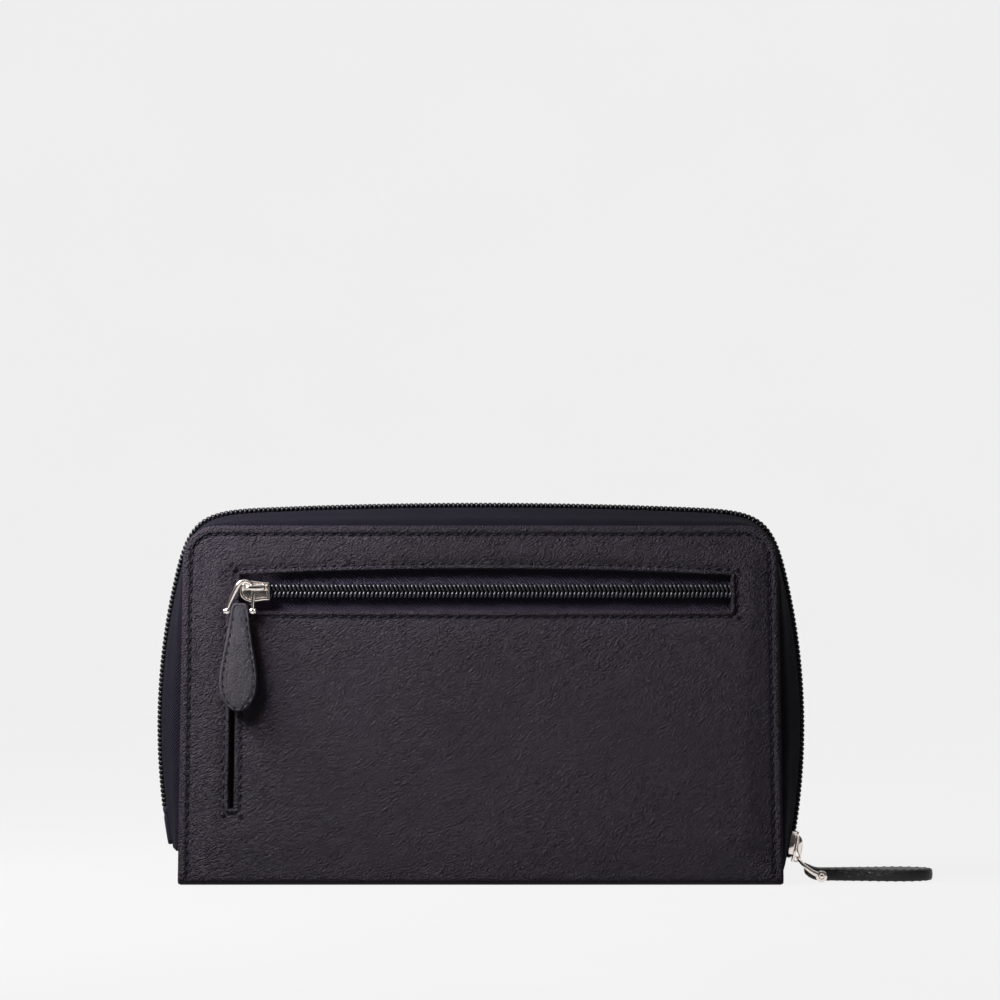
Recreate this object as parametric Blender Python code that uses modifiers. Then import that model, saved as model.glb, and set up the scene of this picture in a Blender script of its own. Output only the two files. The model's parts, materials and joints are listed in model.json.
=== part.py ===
"""Zip around wallet standing closed on its spine: covers, two zips, card pockets and a coin pouch.

X runs along the spine, +Y points to the back cover, +Z points up. The origin is the middle of the
spine's flat underside. Numbers below are millimetres; make_* helpers turn them into metres.
"""
import math

import bpy
from mathutils import Matrix, Vector

MM = 0.001

# Outer leather
COVER_HALF_FOOT = 91.0
COVER_HALF_TOP = 89.4
COVER_BOTTOM = 2.5
COVER_TOP = 108.0
CORNER_R = 10.0
COVER_OUT = 13.0
COVER_IN = 11.7
FOLD_R = 2.2
FOLD_Y = 10.8
LEATHER = COVER_OUT - COVER_IN

# Layers inside each cover, distance from the middle plane
TAPE_LAYER = (10.9, 11.3)
BAG_FRONT_LAYER = (10.3, 10.6)
BAG_BACK_LAYER = (9.4, 9.7)
BOARD_LAYER = (8.6, 9.1)
LINING_LAYER = (7.9, 8.3)
CARD_LAYERS = ((7.2, 7.6), (6.5, 6.9), (5.8, 6.2), (5.1, 5.5))
CARD_TOPS = (88.0, 76.0, 64.0, 52.0)
CARD_HALF = 87.3
INSIDE_FOOT = 6.5

# Main zip: side arcs, one soft corner each side, a nearly flat top
SIDE_R = 200.0
SIDE_CX = 102.0
SIDE_CZ = 47.0
SIDE_TOP_Z = 87.0
TOP_R = 1500.0
TOP_CROWN = 114.7
TOP_END_X = 66.0
CORNER_PULL = 0.9
COIL_R = 0.8
COIL_Y = 0.95
LEFT_COIL_FOOT = 23.3
LEFT_TAIL_FOOT = 10.8
RIGHT_FOOT = 5.0
RIGHT_COIL_FOOT = 8.9
TAPE_DROP = 1.45
TAPE_T = 0.4
MAIN_SLIDER_Z = 10.4

# Pocket zip and slip pocket on the front cover
ZIP_Z = 88.3
WINDOW = (-73.2, 76.2, 82.8, 93.8)
SLIT = (-75.7, -74.5, 23.0, 80.0)
POCKET_COIL_Y = -12.4
POCKET_SLIDER_X = -67.8

# Coin pouch
POUCH_HALF = 80.0
POUCH_WALL = (2.4, 3.0)
POUCH_TOP = 92.0
POUCH_COIL_Z = 93.9
POUCH_COIL_R = 0.7
POUCH_SLIDER_X = -68.0

# Pulls
WIRE_R = 0.5
EYE_R = 1.3
EYE_HOLE = 0.8
PIN_R = 0.5
POCKET_PIVOT = (-70.3, -14.9, 89.0)
POCKET_PIN = (-72.15, -14.9, 82.4)
MAIN_PIN = (103.1, 0.0, 1.8)


def clear_scene():
    for obj in list(bpy.data.objects):
        bpy.data.objects.remove(obj, do_unlink=True)


def make_collection(name):
    collection = bpy.data.collections.new(name)
    bpy.context.scene.collection.children.link(collection)
    return collection


def make_material(name, rgb, rough, metal=0.0):
    material = bpy.data.materials.new(name)
    material.use_nodes = True
    shader = material.node_tree.nodes["Principled BSDF"]
    shader.inputs["Base Color"].default_value = (*rgb, 1.0)
    shader.inputs["Roughness"].default_value = rough
    shader.inputs["Metallic"].default_value = metal
    return material


def keep(obj, name, look, axis=None):
    """Name the object, give it its own material, file it and hang it on its joint empty."""
    obj.name = name
    obj.data.name = name
    rgb, rough, metal = look
    obj.data.materials.clear()
    obj.data.materials.append(make_material(name + "_material", rgb, rough, metal))
    for collection in list(obj.users_collection):
        collection.objects.unlink(obj)
    WALLET.objects.link(obj)
    if axis is not None:
        obj.parent = axis
        obj.matrix_parent_inverse = Matrix.Translation(-axis.location)
    return obj


def make_axis(name, place):
    empty = bpy.data.objects.new(name, None)
    empty.location = Vector(place) * MM
    empty.empty_display_size = 0.01
    WALLET.objects.link(empty)
    return empty


def add_curve(loops, half, rounding):
    data = bpy.data.curves.new("outline", "CURVE")
    data.dimensions = "2D"
    data.fill_mode = "BOTH"
    data.extrude = (half - rounding) * MM
    data.bevel_depth = rounding * MM
    data.bevel_resolution = 1
    data.offset = -rounding * MM
    for loop in loops:
        spline = data.splines.new("POLY")
        spline.points.add(len(loop) - 1)
        for point, (x, y) in zip(spline.points, loop):
            point.co = (x * MM, y * MM, 0.0, 1.0)
        spline.use_cyclic_u = True
    obj = bpy.data.objects.new("outline", data)
    bpy.context.scene.collection.objects.link(obj)
    return obj


def upright(loops, near, far, rounding=0.0):
    """A flat piece drawn in X and Z, between two Y planes."""
    obj = add_curve(loops, abs(far - near) / 2, rounding)
    obj.rotation_euler = (math.pi / 2, 0.0, 0.0)
    obj.location = (0.0, (near + far) / 2 * MM, 0.0)
    return obj


def along_x(loop, half_length):
    """A profile drawn in Y and Z, run along X."""
    obj = add_curve([loop], half_length, 0.0)
    obj.rotation_euler = (math.pi / 2, 0.0, math.pi / 2)
    return obj


def along_z(loop, foot, top):
    """A profile drawn in X and Y, run up Z."""
    obj = add_curve([loop], (top - foot) / 2, 0.0)
    obj.location = (0.0, 0.0, (foot + top) / 2 * MM)
    return obj


def block(low, high, rounding=0.0):
    bpy.ops.mesh.primitive_cube_add(size=1.0)
    obj = bpy.context.object
    middle = [(a + b) / 2 * MM for a, b in zip(low, high)]
    size = [(b - a) * MM for a, b in zip(low, high)]
    obj.data.transform(Matrix.Translation(middle) @ Matrix.Diagonal((*size, 1.0)))
    if rounding:
        bevel = obj.modifiers.new("edges", "BEVEL")
        bevel.width = rounding * MM
        bevel.segments = 2
    return obj


def cylinder(radius, low, high, sides=20):
    """A round bar between two points."""
    start = Vector(low)
    end = Vector(high)
    bpy.ops.mesh.primitive_cylinder_add(radius=radius * MM, depth=(end - start).length * MM, vertices=sides)
    obj = bpy.context.object
    turn = (end - start).to_track_quat("Z", "Y").to_matrix().to_4x4()
    obj.data.transform(Matrix.Translation((start + end) / 2 * MM) @ turn)
    return obj


def wire(points, radius, closed=False, sides=2):
    data = bpy.data.curves.new("wire", "CURVE")
    data.dimensions = "3D"
    data.bevel_depth = radius * MM
    data.bevel_resolution = sides
    data.use_fill_caps = True
    spline = data.splines.new("POLY")
    spline.points.add(len(points) - 1)
    for point, place in zip(spline.points, points):
        point.co = (*(Vector(place) * MM), 1.0)
    spline.use_cyclic_u = closed
    obj = bpy.data.objects.new("wire", data)
    bpy.context.scene.collection.objects.link(obj)
    return obj


def as_mesh(obj):
    """Swap an object for its finished mesh, with doubled points joined."""
    graph = bpy.context.evaluated_depsgraph_get()
    mesh = bpy.data.meshes.new_from_object(obj.evaluated_get(graph))
    mesh.transform(obj.matrix_world)
    solid = bpy.data.objects.new("solid", mesh)
    bpy.context.scene.collection.objects.link(solid)
    bpy.data.objects.remove(obj, do_unlink=True)
    weld = solid.modifiers.new("weld", "WELD")
    weld.merge_threshold = 0.000001
    graph = bpy.context.evaluated_depsgraph_get()
    solid.data = bpy.data.meshes.new_from_object(solid.evaluated_get(graph))
    solid.modifiers.clear()
    return solid


def combine(body, others, operation):
    """Join or cut with exact Booleans, then keep only the finished mesh."""
    body = as_mesh(body)
    others = [as_mesh(other) for other in others]
    for other in others:
        step = body.modifiers.new("step", "BOOLEAN")
        step.operation = operation
        step.solver = "EXACT"
        step.object = other
    bpy.context.view_layer.update()
    body = as_mesh(body)
    for other in others:
        bpy.data.objects.remove(other, do_unlink=True)
    return body


def arc(cx, cy, radius, start, end, steps):
    """Points on an arc, angles in degrees."""
    points = []
    for i in range(steps + 1):
        angle = math.radians(start + (end - start) * i / steps)
        points.append((cx + radius * math.cos(angle), cy + radius * math.sin(angle)))
    return points


def rectangle(left, right, foot, top):
    return [(left, foot), (right, foot), (right, top), (left, top)]


def cover_outline(inset=0.0, foot=COVER_BOTTOM):
    """Cover shape, moved in by inset all round; the foot keeps its own height."""
    radius = CORNER_R - inset if inset < CORNER_R - 2 else 2.0
    half_foot = COVER_HALF_FOOT - inset
    half_top = COVER_HALF_TOP - inset
    top = COVER_TOP - inset
    right = arc(half_top - radius, top - radius, radius, 1, 90, 8)
    left = [(-x, z) for x, z in reversed(right)]
    small = [(half_foot - 1.5, foot), (half_foot - 0.4, foot + 0.5), (half_foot, foot + 1.6)]
    mirrored = [(-x, z) for x, z in reversed(small)]
    return small + right + left + mirrored


def bezier(a, b, c, d, t):
    s = 1.0 - t
    weights = (s ** 3, 3 * s * s * t, 3 * s * t * t, t ** 3)
    return Vector((0.0, 0.0)) + sum((w * Vector(p) for w, p in zip(weights, (a, b, c, d))), Vector((0, 0)))


def zip_side(low, high, count):
    """Right side arc of the zip between two heights."""
    start = math.asin((low - SIDE_CZ) / SIDE_R)
    end = math.asin((high - SIDE_CZ) / SIDE_R)
    points = []
    for i in range(count + 1):
        angle = start + (end - start) * i / count
        points.append(Vector((SIDE_R * math.cos(angle) - SIDE_CX, SIDE_CZ + SIDE_R * math.sin(angle))))
    return points


def zip_corner(count):
    start = zip_side(SIDE_TOP_Z, SIDE_TOP_Z + 1, 1)[0]
    angle = math.asin((SIDE_TOP_Z - SIDE_CZ) / SIDE_R)
    rise = Vector((-math.sin(angle), math.cos(angle)))
    drop = TOP_END_X / TOP_R
    end = Vector((TOP_END_X, TOP_CROWN - TOP_END_X * drop / 2))
    run = Vector((1.0, -drop))
    cross = rise.x * run.y - rise.y * run.x
    gap = end - start
    reach_up = (gap.x * run.y - gap.y * run.x) / cross
    reach_out = (gap.x * rise.y - gap.y * rise.x) / cross
    first = start + rise * reach_up * CORNER_PULL
    second = end + run * reach_out * CORNER_PULL
    return [bezier(start, first, second, end, i / count) for i in range(1, count)] + [end]


def zip_line(left_foot, right_foot):
    """Middle line of the closed chain, from the left foot over the top to the right foot."""
    right = zip_side(right_foot, SIDE_TOP_Z, 16) + zip_corner(9)
    left = zip_side(left_foot, SIDE_TOP_Z, 16) + zip_corner(9)
    points = [Vector((-p.x, p.y)) for p in left]
    for i in range(1, 8):
        x = -TOP_END_X + 2 * TOP_END_X * i / 8
        points.append(Vector((x, TOP_CROWN - x * x / (2 * TOP_R))))
    return points + list(reversed(right))


def line_normals(points):
    normals = []
    for i in range(len(points)):
        before = points[max(i - 1, 0)]
        after = points[min(i + 1, len(points) - 1)]
        run = (after - before).normalized()
        normals.append(Vector((-run.y, run.x)))
    return normals


def nearest_core(point):
    """Nearest point on the line that the cover edge runs round at the corner radius."""
    top = COVER_TOP - CORNER_R
    half_top = COVER_HALF_TOP - CORNER_R
    half_foot = COVER_HALF_FOOT - CORNER_R
    corners = [(half_foot, 0.0), (half_top, top), (-half_top, top), (-half_foot, 0.0)]
    best = None
    for a, b in zip(corners[:-1], corners[1:]):
        start = Vector(a)
        run = Vector(b) - start
        t = min(max((point - start).dot(run) / run.length_squared, 0.0), 1.0)
        spot = start + run * t
        if best is None or (point - spot).length < (point - best).length:
            best = spot
    return best


def tape_ring(point, normal, side):
    """Ring of corners of the main tape where the chain passes one point."""
    core = nearest_core(point)
    out = (point - core).normalized()
    edge = core + out * CORNER_R
    bulge = (point - edge).length
    shoulder = 0.28 * bulge - 0.6
    high = point - normal * (COIL_R + TAPE_DROP)
    low = point - normal * (COIL_R + TAPE_DROP + TAPE_T)
    deep, shallow = TAPE_LAYER[1], TAPE_LAYER[0]
    ring = [
        (edge - out * 5.0, deep),
        (edge - out * 0.6, deep),
        (edge + out * (shoulder + 0.14), 10.05),
        (high, 3.6),
        (high, 1.05),
        (low, 1.05),
        (low, 3.55),
        (edge + out * (shoulder - 0.14), 9.75),
        (edge - out * 0.75, shallow),
        (edge - out * 5.0, shallow),
    ]
    return [Vector((p.x, side * y, p.y)) * MM for p, y in ring]


def make_main_tape(name, side, axis):
    points = zip_line(LEFT_TAIL_FOOT, RIGHT_FOOT)
    normals = line_normals(points)
    rings = [tape_ring(p, n, side) for p, n in zip(points, normals)]
    count = len(rings[0])
    corners = [corner for ring in rings for corner in ring]
    faces = []
    for i in range(len(rings) - 1):
        for j in range(count):
            a = i * count + j
            b = i * count + (j + 1) % count
            faces.append((a, b, b + count, a + count))
    faces.append(tuple(reversed(range(count))))
    faces.append(tuple(range((len(rings) - 1) * count, len(rings) * count)))
    mesh = bpy.data.meshes.new(name)
    mesh.from_pydata(corners, [], faces)
    if side < 0:
        mesh.flip_normals()
    obj = bpy.data.objects.new(name, mesh)
    return keep(obj, name, NAVY, axis)


def make_main_coil(name, side, axis):
    points = zip_line(LEFT_COIL_FOOT, RIGHT_COIL_FOOT)
    normals = line_normals(points)
    places = []
    for point, normal in zip(points, normals):
        spot = point - normal * COIL_R
        places.append((spot.x, side * COIL_Y, spot.y))
    return keep(wire(places, COIL_R, sides=1), name, NYLON, axis)


def make_covers():
    outline = cover_outline()
    window = rectangle(*WINDOW)
    slit = rectangle(*SLIT)
    front = upright([outline, window, slit], -COVER_OUT, -COVER_IN)
    keep(front, "front_cover", AUBERGINE, COVER_AXIS)
    back = upright([outline], COVER_IN, COVER_OUT)
    keep(back, "back_cover", AUBERGINE)


def make_spine():
    outer = arc(FOLD_Y, FOLD_R, FOLD_R, -90, 0, 6)
    inner = arc(FOLD_Y, FOLD_R, FOLD_R - LEATHER, 0, -90, 6)
    profile = [(-10.4, LEATHER), (-10.4, 0.0)] + outer + inner
    keep(along_x(profile, COVER_HALF_FOOT - 0.3), "spine", AUBERGINE)
    outer = arc(-FOLD_Y, FOLD_R, FOLD_R, 180, 270, 6)
    inner = arc(-FOLD_Y, FOLD_R, FOLD_R - LEATHER, 270, 180, 6)
    keep(along_x(outer + inner, COVER_HALF_FOOT - 0.3), "front_fold", AUBERGINE)
    keep(block((-87.0, -9.4, 1.6), (87.0, 9.4, 2.6), 0.2), "spine_board", BOARD)
    keep(block((-88.5, -9.8, 2.9), (88.5, 9.8, 3.3)), "spine_lining", LINING)


def make_sheet(name, outline, layer, side, look, axis=None):
    near, far = sorted((side * layer[0], side * layer[1]))
    return keep(upright([outline], near, far), name, look, axis)


def make_card_pockets(word, side, axis):
    for i, (layer, top) in enumerate(zip(CARD_LAYERS, CARD_TOPS)):
        outline = rectangle(-CARD_HALF, CARD_HALF, INSIDE_FOOT, top)
        make_sheet(f"{word}_card_pocket_{i + 1}", outline, layer, side, LINING, axis)


def make_inside(word, side, axis):
    make_sheet(f"{word}_stiffener", cover_outline(6.3, INSIDE_FOOT), BOARD_LAYER, side, BOARD, axis)
    make_sheet(f"{word}_lining", cover_outline(1.3, 5.0), LINING_LAYER, side, LINING, axis)
    make_card_pockets(word, side, axis)


def make_pocket_parts():
    axis = COVER_AXIS
    upper = rectangle(-78.0, 81.0, ZIP_Z + 1.05, 99.0)
    lower = rectangle(-78.0, 81.0, 77.0, ZIP_Z - 1.05)
    make_sheet("pocket_tape_upper", upper, TAPE_LAYER, -1, NAVY, axis)
    make_sheet("pocket_tape_lower", lower, TAPE_LAYER, -1, NAVY, axis)
    make_sheet("slip_pocket_backing", rectangle(-84.0, 30.0, 14.0, 76.6), TAPE_LAYER, -1, LINING, axis)
    make_sheet("zip_pocket_front_ply", rectangle(-79.0, 79.0, 12.0, 84.0), BAG_FRONT_LAYER, -1, LINING, axis)
    make_sheet("zip_pocket_back_ply", rectangle(-79.0, 79.0, 12.0, 99.0), BAG_BACK_LAYER, -1, LINING, axis)
    for word, side in (("upper", 1), ("lower", -1)):
        low, high = sorted((ZIP_Z + side * 0.15, ZIP_Z + side * 2.2))
        coil = block((-69.0, POCKET_COIL_Y - 0.75, low), (75.0, POCKET_COIL_Y + 0.75, high), 0.35)
        keep(coil, f"pocket_coil_{word}", NYLON, axis)


def fold_strip(middle, thickness):
    """Closed outline of a thin folded sheet from its middle line."""
    points = [Vector(p) for p in middle]
    normals = line_normals(points)
    left = [p + n * thickness / 2 for p, n in zip(points, normals)]
    right = [p - n * thickness / 2 for p, n in zip(points, normals)]
    return [tuple(p) for p in left + list(reversed(right))]


def make_gussets():
    middle = [(87.9, 7.6), (87.9, 5.1)]
    middle += arc(87.35, 5.0, 0.55, 0, -90, 4)[1:]
    middle += arc(72.0, 4.1, 0.35, 90, 270, 8)
    middle += arc(84.0, 3.2, 0.55, 90, 20, 3)
    middle += [(81.6, 0.5)]
    for word, side, axis in (("front", -1, COVER_AXIS), ("back", 1, None)):
        for hand, mirror in (("left", -1), ("right", 1)):
            shape = fold_strip([(mirror * x, side * y) for x, y in middle], 0.3)
            keep(along_z(shape, 5.5, 94.0), f"gusset_{word}_{hand}", LINING, axis)


def make_end_tab():
    radius = SIDE_R - COIL_R
    low = math.degrees(math.asin((11.0 - SIDE_CZ) / radius))
    high = math.degrees(math.asin((LEFT_COIL_FOOT - 0.4 - SIDE_CZ) / radius))
    outer = arc(-SIDE_CX, SIDE_CZ, radius + 0.9, low, high, 5)
    inner = arc(-SIDE_CX, SIDE_CZ, radius - 0.9, high, low, 5)
    outline = [(-x, z) for x, z in outer + inner]
    keep(upright([outline], -2.9, 2.9), "zip_end_tab", AUBERGINE)


def slider_body(length, top_half, foot_half, coil_half, levels, post_half, bridge):
    """Slider in its own frame: X to its mouth, Y across the chain, Z away from the tape."""
    plate_foot, plate_top, lip, chin_top, chin_foot = levels
    half = length / 2
    nose = half - 1.0
    shape = [(-half, -top_half * 0.8), (half - 2.0, -top_half), (half, -top_half * 0.45)]
    shape += [(half, top_half * 0.45), (half - 2.0, top_half), (-half, top_half * 0.8)]
    top = add_curve([shape], (plate_top - plate_foot) / 2, 0.0)
    top.location = (0.0, 0.0, (plate_top + plate_foot) / 2 * MM)
    parts = []
    parts.append(block((-half, -foot_half, chin_foot), (half - 0.6, foot_half, chin_top)))
    parts.append(block((nose - 1.5, -post_half, chin_foot + 0.1), (nose, post_half, plate_foot + 0.1)))
    for side in (-1, 1):
        low, high = sorted((side * coil_half, side * (top_half * 0.8)))
        parts.append(block((-half, low, lip), (half - 2.4, high, plate_foot + 0.1)))
    foot_a, foot_b, width, inside, outside, across = bridge
    for foot in (foot_a, foot_b):
        low = (foot - 0.45, across - width, plate_top - 0.1)
        parts.append(block(low, (foot + 0.45, across + width, outside - 0.1)))
    low = (foot_a - 0.45, across - width, inside)
    parts.append(block(low, (foot_b + 0.45, across + width, outside)))
    return combine(top, parts, "UNION")


def place(obj, origin, along, out):
    """Put a piece built in its own frame into the wallet's frame."""
    x = Vector(along).normalized()
    z = Vector(out).normalized()
    y = z.cross(x)
    turn = Matrix((x, y, z)).transposed().to_4x4()
    obj.data.transform(Matrix.Translation(Vector(origin) * MM) @ turn)
    return obj


def pull_loop(top, eyes):
    """Bent wire with a ring at each end; the pin runs through both rings."""
    bend = wire(top, WIRE_R, sides=2)
    rings = []
    holes = []
    across = (Vector(eyes[1]) - Vector(eyes[0])).normalized()
    for eye in eyes:
        middle = Vector(eye)
        rings.append(cylinder(EYE_R, middle - across * 0.6, middle + across * 0.6))
        holes.append(cylinder(EYE_HOLE, middle - across * 2.0, middle + across * 2.0))
    return combine(combine(bend, rings, "UNION"), holes, "DIFFERENCE")


def pull_pin(eyes):
    first, second = Vector(eyes[0]), Vector(eyes[1])
    across = (second - first).normalized()
    body = cylinder(PIN_R, first - across * 1.2, second + across * 1.2)
    heads = []
    for point, way in ((first, -across), (second, across)):
        heads.append(cylinder(1.1, point + way * 0.95, point + way * 1.45))
    return combine(body, heads, "UNION")


def tab_outline(reach, widest, half):
    """Half-drop shape measured from the pin: X away from the pin, Y across."""
    stem = 2.8
    side = []
    for i in range(9):
        angle = math.radians(180 - 90 * i / 8)
        side.append((2.1 * math.cos(angle), stem * math.sin(angle)))
    for i in range(1, 8):
        t = i / 8
        ease = t * t * (3 - 2 * t)
        side.append((widest * t, stem + (half - stem) * ease))
    for i in range(9):
        angle = math.radians(90 - 90 * i / 8)
        side.append((widest + (reach - widest) * math.cos(angle), half * math.sin(angle) ** 0.85))
    return side + [(x, -y) for x, y in reversed(side[1:-1])]


def pull_tab(reach, widest, half, thickness):
    body = add_curve([tab_outline(reach, widest, half)], thickness / 2, 0.4)
    hole = cylinder(EYE_HOLE, (0.0, -8.0, 0.0), (0.0, 8.0, 0.0))
    return combine(body, [hole], "DIFFERENCE")


def make_pocket_pull():
    levels = (1.05, 1.75, -0.75, -1.8, -2.4)
    bridge = (-2.9, 2.5, 1.0, 3.35, 3.95, -0.7)
    slider = slider_body(9.0, 3.1, 3.0, 2.5, levels, 0.7, bridge)
    place(slider, (POCKET_SLIDER_X, POCKET_COIL_Y, ZIP_Z), (-1, 0, 0), (0, -1, 0))
    keep(slider, "pocket_slider", STEEL, POCKET_SLIDE_AXIS)
    px, py, pz = POCKET_PIVOT
    cx, cy, cz = POCKET_PIN
    eyes = ((cx - 3.75, py, cz), (cx + 3.75, py, cz))
    bend = [(px - x, py, pz + z) for x, z in arc(0.0, 0.0, 2.1, 0, 180, 10)]
    top = [(cx - 3.75, py, cz + 0.9)] + bend + [(cx + 3.75, py, cz + 0.9)]
    keep(pull_loop(top, eyes), "pocket_pull_loop", STEEL, POCKET_LOOP_AXIS)
    keep(pull_pin(eyes), "pocket_pull_pin", STEEL, POCKET_LOOP_AXIS)
    tab = pull_tab(30.2, 22.3, 5.7, 2.5)
    place(tab, POCKET_PIN, (-0.02, 0, -1), (0, -1, 0))
    keep(tab, "pocket_pull_tab", AUBERGINE, POCKET_TAB_AXIS)


def make_main_pull():
    angle = math.asin((MAIN_SLIDER_Z - SIDE_CZ) / SIDE_R)
    out = Vector((math.cos(angle), 0.0, math.sin(angle)))
    down = Vector((math.sin(angle), 0.0, -math.cos(angle)))
    origin = Vector((-SIDE_CX, 0.0, SIDE_CZ)) + out * (SIDE_R - COIL_R)
    levels = (1.1, 1.8, -0.85, -2.2, -2.8)
    bridge = (-3.9, 4.3, 1.2, 3.4, 4.0, 0.0)
    slider = slider_body(9.6, 3.6, 1.9, 2.05, levels, 0.7, bridge)
    place(slider, origin, down, out)
    keep(slider, "main_slider", STEEL, MAIN_SLIDE_AXIS)
    hook = Vector(MAIN_HOOK)
    pin = Vector(MAIN_PIN)
    run = (pin - hook).normalized()
    reach = (pin - hook).length
    eyes = (tuple(pin - Vector((0, 3.9, 0))), tuple(pin + Vector((0, 3.9, 0))))
    shape = [(reach - 0.9, -3.9), (1.4, -2.5), (0.55, -2.2), (0.1, -1.7), (0.0, -1.2)]
    shape += [(v, -w) for v, w in reversed(shape)]
    top = [tuple(hook + run * v + Vector((0, w, 0))) for v, w in shape]
    keep(pull_loop(top, eyes), "main_pull_loop", STEEL, MAIN_LOOP_AXIS)
    keep(pull_pin(eyes), "main_pull_pin", STEEL, MAIN_LOOP_AXIS)
    tab = pull_tab(34.1, 25.0, 5.7, 2.9)
    place(tab, MAIN_PIN, (1, 0, 0), (0, 0, 1))
    keep(tab, "main_pull_tab", AUBERGINE, MAIN_TAB_AXIS)


def main_hook():
    """Where the loop's wire lies under the slider's bridge."""
    angle = math.asin((MAIN_SLIDER_Z - SIDE_CZ) / SIDE_R)
    out = Vector((math.cos(angle), 0.0, math.sin(angle)))
    down = Vector((math.sin(angle), 0.0, -math.cos(angle)))
    spot = Vector((-SIDE_CX, 0.0, SIDE_CZ)) + out * (SIDE_R - COIL_R + 2.6) + down * 3.0
    return tuple(spot)


def make_pouch():
    axis = POUCH_AXIS
    half = POUCH_HALF
    for word, side in (("front", -1), ("back", 1)):
        wall = rectangle(-half, half, INSIDE_FOOT, POUCH_TOP)
        make_sheet(f"pouch_{word}_wall", wall, POUCH_WALL, side, LINING, axis)
        shape = [(2.1, 84.0), (2.1, 92.9), (0.9, 92.9), (0.9, 92.5), (1.75, 92.5), (1.75, 84.0)]
        tape = along_x([(side * y, z) for y, z in shape], half - 2.5)
        keep(tape, f"pouch_tape_{word}", NAVY, axis)
        coil = wire([(-68.9, side * 0.85, POUCH_COIL_Z), (76.0, side * 0.85, POUCH_COIL_Z)], POUCH_COIL_R)
        keep(coil, f"pouch_coil_{word}", NYLON, axis)
    base = block((-half + 0.4, -2.1, INSIDE_FOOT), (half - 0.4, 2.1, 7.3))
    keep(base, "pouch_base", LINING, axis)
    for hand, mirror in (("left", -1), ("right", 1)):
        low, high = sorted((mirror * (half - 1.2), mirror * (half - 0.4)))
        side = block((low, -2.1, 7.6), (high, 2.1, POUCH_TOP))
        keep(side, f"pouch_side_{hand}", LINING, axis)


def make_pouch_pull():
    levels = (1.0, 1.6, -0.6, -1.75, -2.25)
    bridge = (-3.0, 3.0, 0.8, 3.2, 3.8, 0.0)
    slider = slider_body(7.6, 2.9, 1.4, 1.85, levels, 0.55, bridge)
    place(slider, (POUCH_SLIDER_X, 0.0, POUCH_COIL_Z), (-1, 0, 0), (0, 0, 1))
    keep(slider, "pouch_slider", STEEL, POUCH_SLIDE_AXIS)
    x, y, z = POUCH_HOOK
    shape = [(0.0, -1.7), (0.6, -2.3), (11.1, -3.2), (12.0, -2.4), (12.0, 2.4), (11.1, 3.2)]
    shape += [(0.6, 2.3), (0.0, 1.7)]
    ring = wire([(x + v, w, z) for v, w in shape], WIRE_R, closed=True)
    keep(ring, "pouch_pull", STEEL, POUCH_PULL_AXIS)


AUBERGINE = ((0.045, 0.036, 0.047), 0.5, 0.0)
NAVY = ((0.017, 0.015, 0.025), 0.8, 0.0)
NYLON = ((0.012, 0.011, 0.016), 0.4, 0.0)
STEEL = ((0.62, 0.58, 0.58), 0.25, 1.0)
LINING = ((0.05, 0.045, 0.06), 0.8, 0.0)
BOARD = ((0.35, 0.33, 0.3), 0.9, 0.0)

clear_scene()
WALLET = make_collection("zip_around_wallet")
MAIN_HOOK = main_hook()
POUCH_HOOK = (POUCH_SLIDER_X + 1.9, 0.0, POUCH_COIL_Z + 2.4)
COVER_AXIS = make_axis("cover_axis", (0.0, -FOLD_Y, FOLD_R))
POUCH_AXIS = make_axis("pouch_axis", (0.0, -FOLD_Y, FOLD_R))
MAIN_SLIDE_AXIS = make_axis("main_slide_axis", (-SIDE_CX, 0.0, SIDE_CZ))
MAIN_LOOP_AXIS = make_axis("main_loop_axis", MAIN_HOOK)
MAIN_TAB_AXIS = make_axis("main_tab_axis", MAIN_PIN)
POCKET_SLIDE_AXIS = make_axis("pocket_slide_axis", (POCKET_SLIDER_X, POCKET_COIL_Y, ZIP_Z))
POCKET_LOOP_AXIS = make_axis("pocket_loop_axis", POCKET_PIVOT)
POCKET_TAB_AXIS = make_axis("pocket_tab_axis", POCKET_PIN)
POUCH_SLIDE_AXIS = make_axis("pouch_slide_axis", (POUCH_SLIDER_X, 0.0, POUCH_COIL_Z))
POUCH_PULL_AXIS = make_axis("pouch_pull_axis", POUCH_HOOK)

make_covers()
make_spine()
make_inside("front", -1, COVER_AXIS)
make_inside("back", 1, None)
make_sheet("back_padding", cover_outline(6.5, INSIDE_FOOT), (9.4, 11.3), 1, BOARD)
make_pocket_parts()
make_gussets()
make_main_tape("main_tape_front", -1, COVER_AXIS)
make_main_tape("main_tape_back", 1, None)
make_main_coil("main_coil_front", -1, COVER_AXIS)
make_main_coil("main_coil_back", 1, None)
make_end_tab()
make_main_pull()
make_pocket_pull()
make_pouch()
make_pouch_pull()
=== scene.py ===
import json
import math

import bmesh
import bpy
import numpy as np
from mathutils import Matrix, Vector

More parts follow.
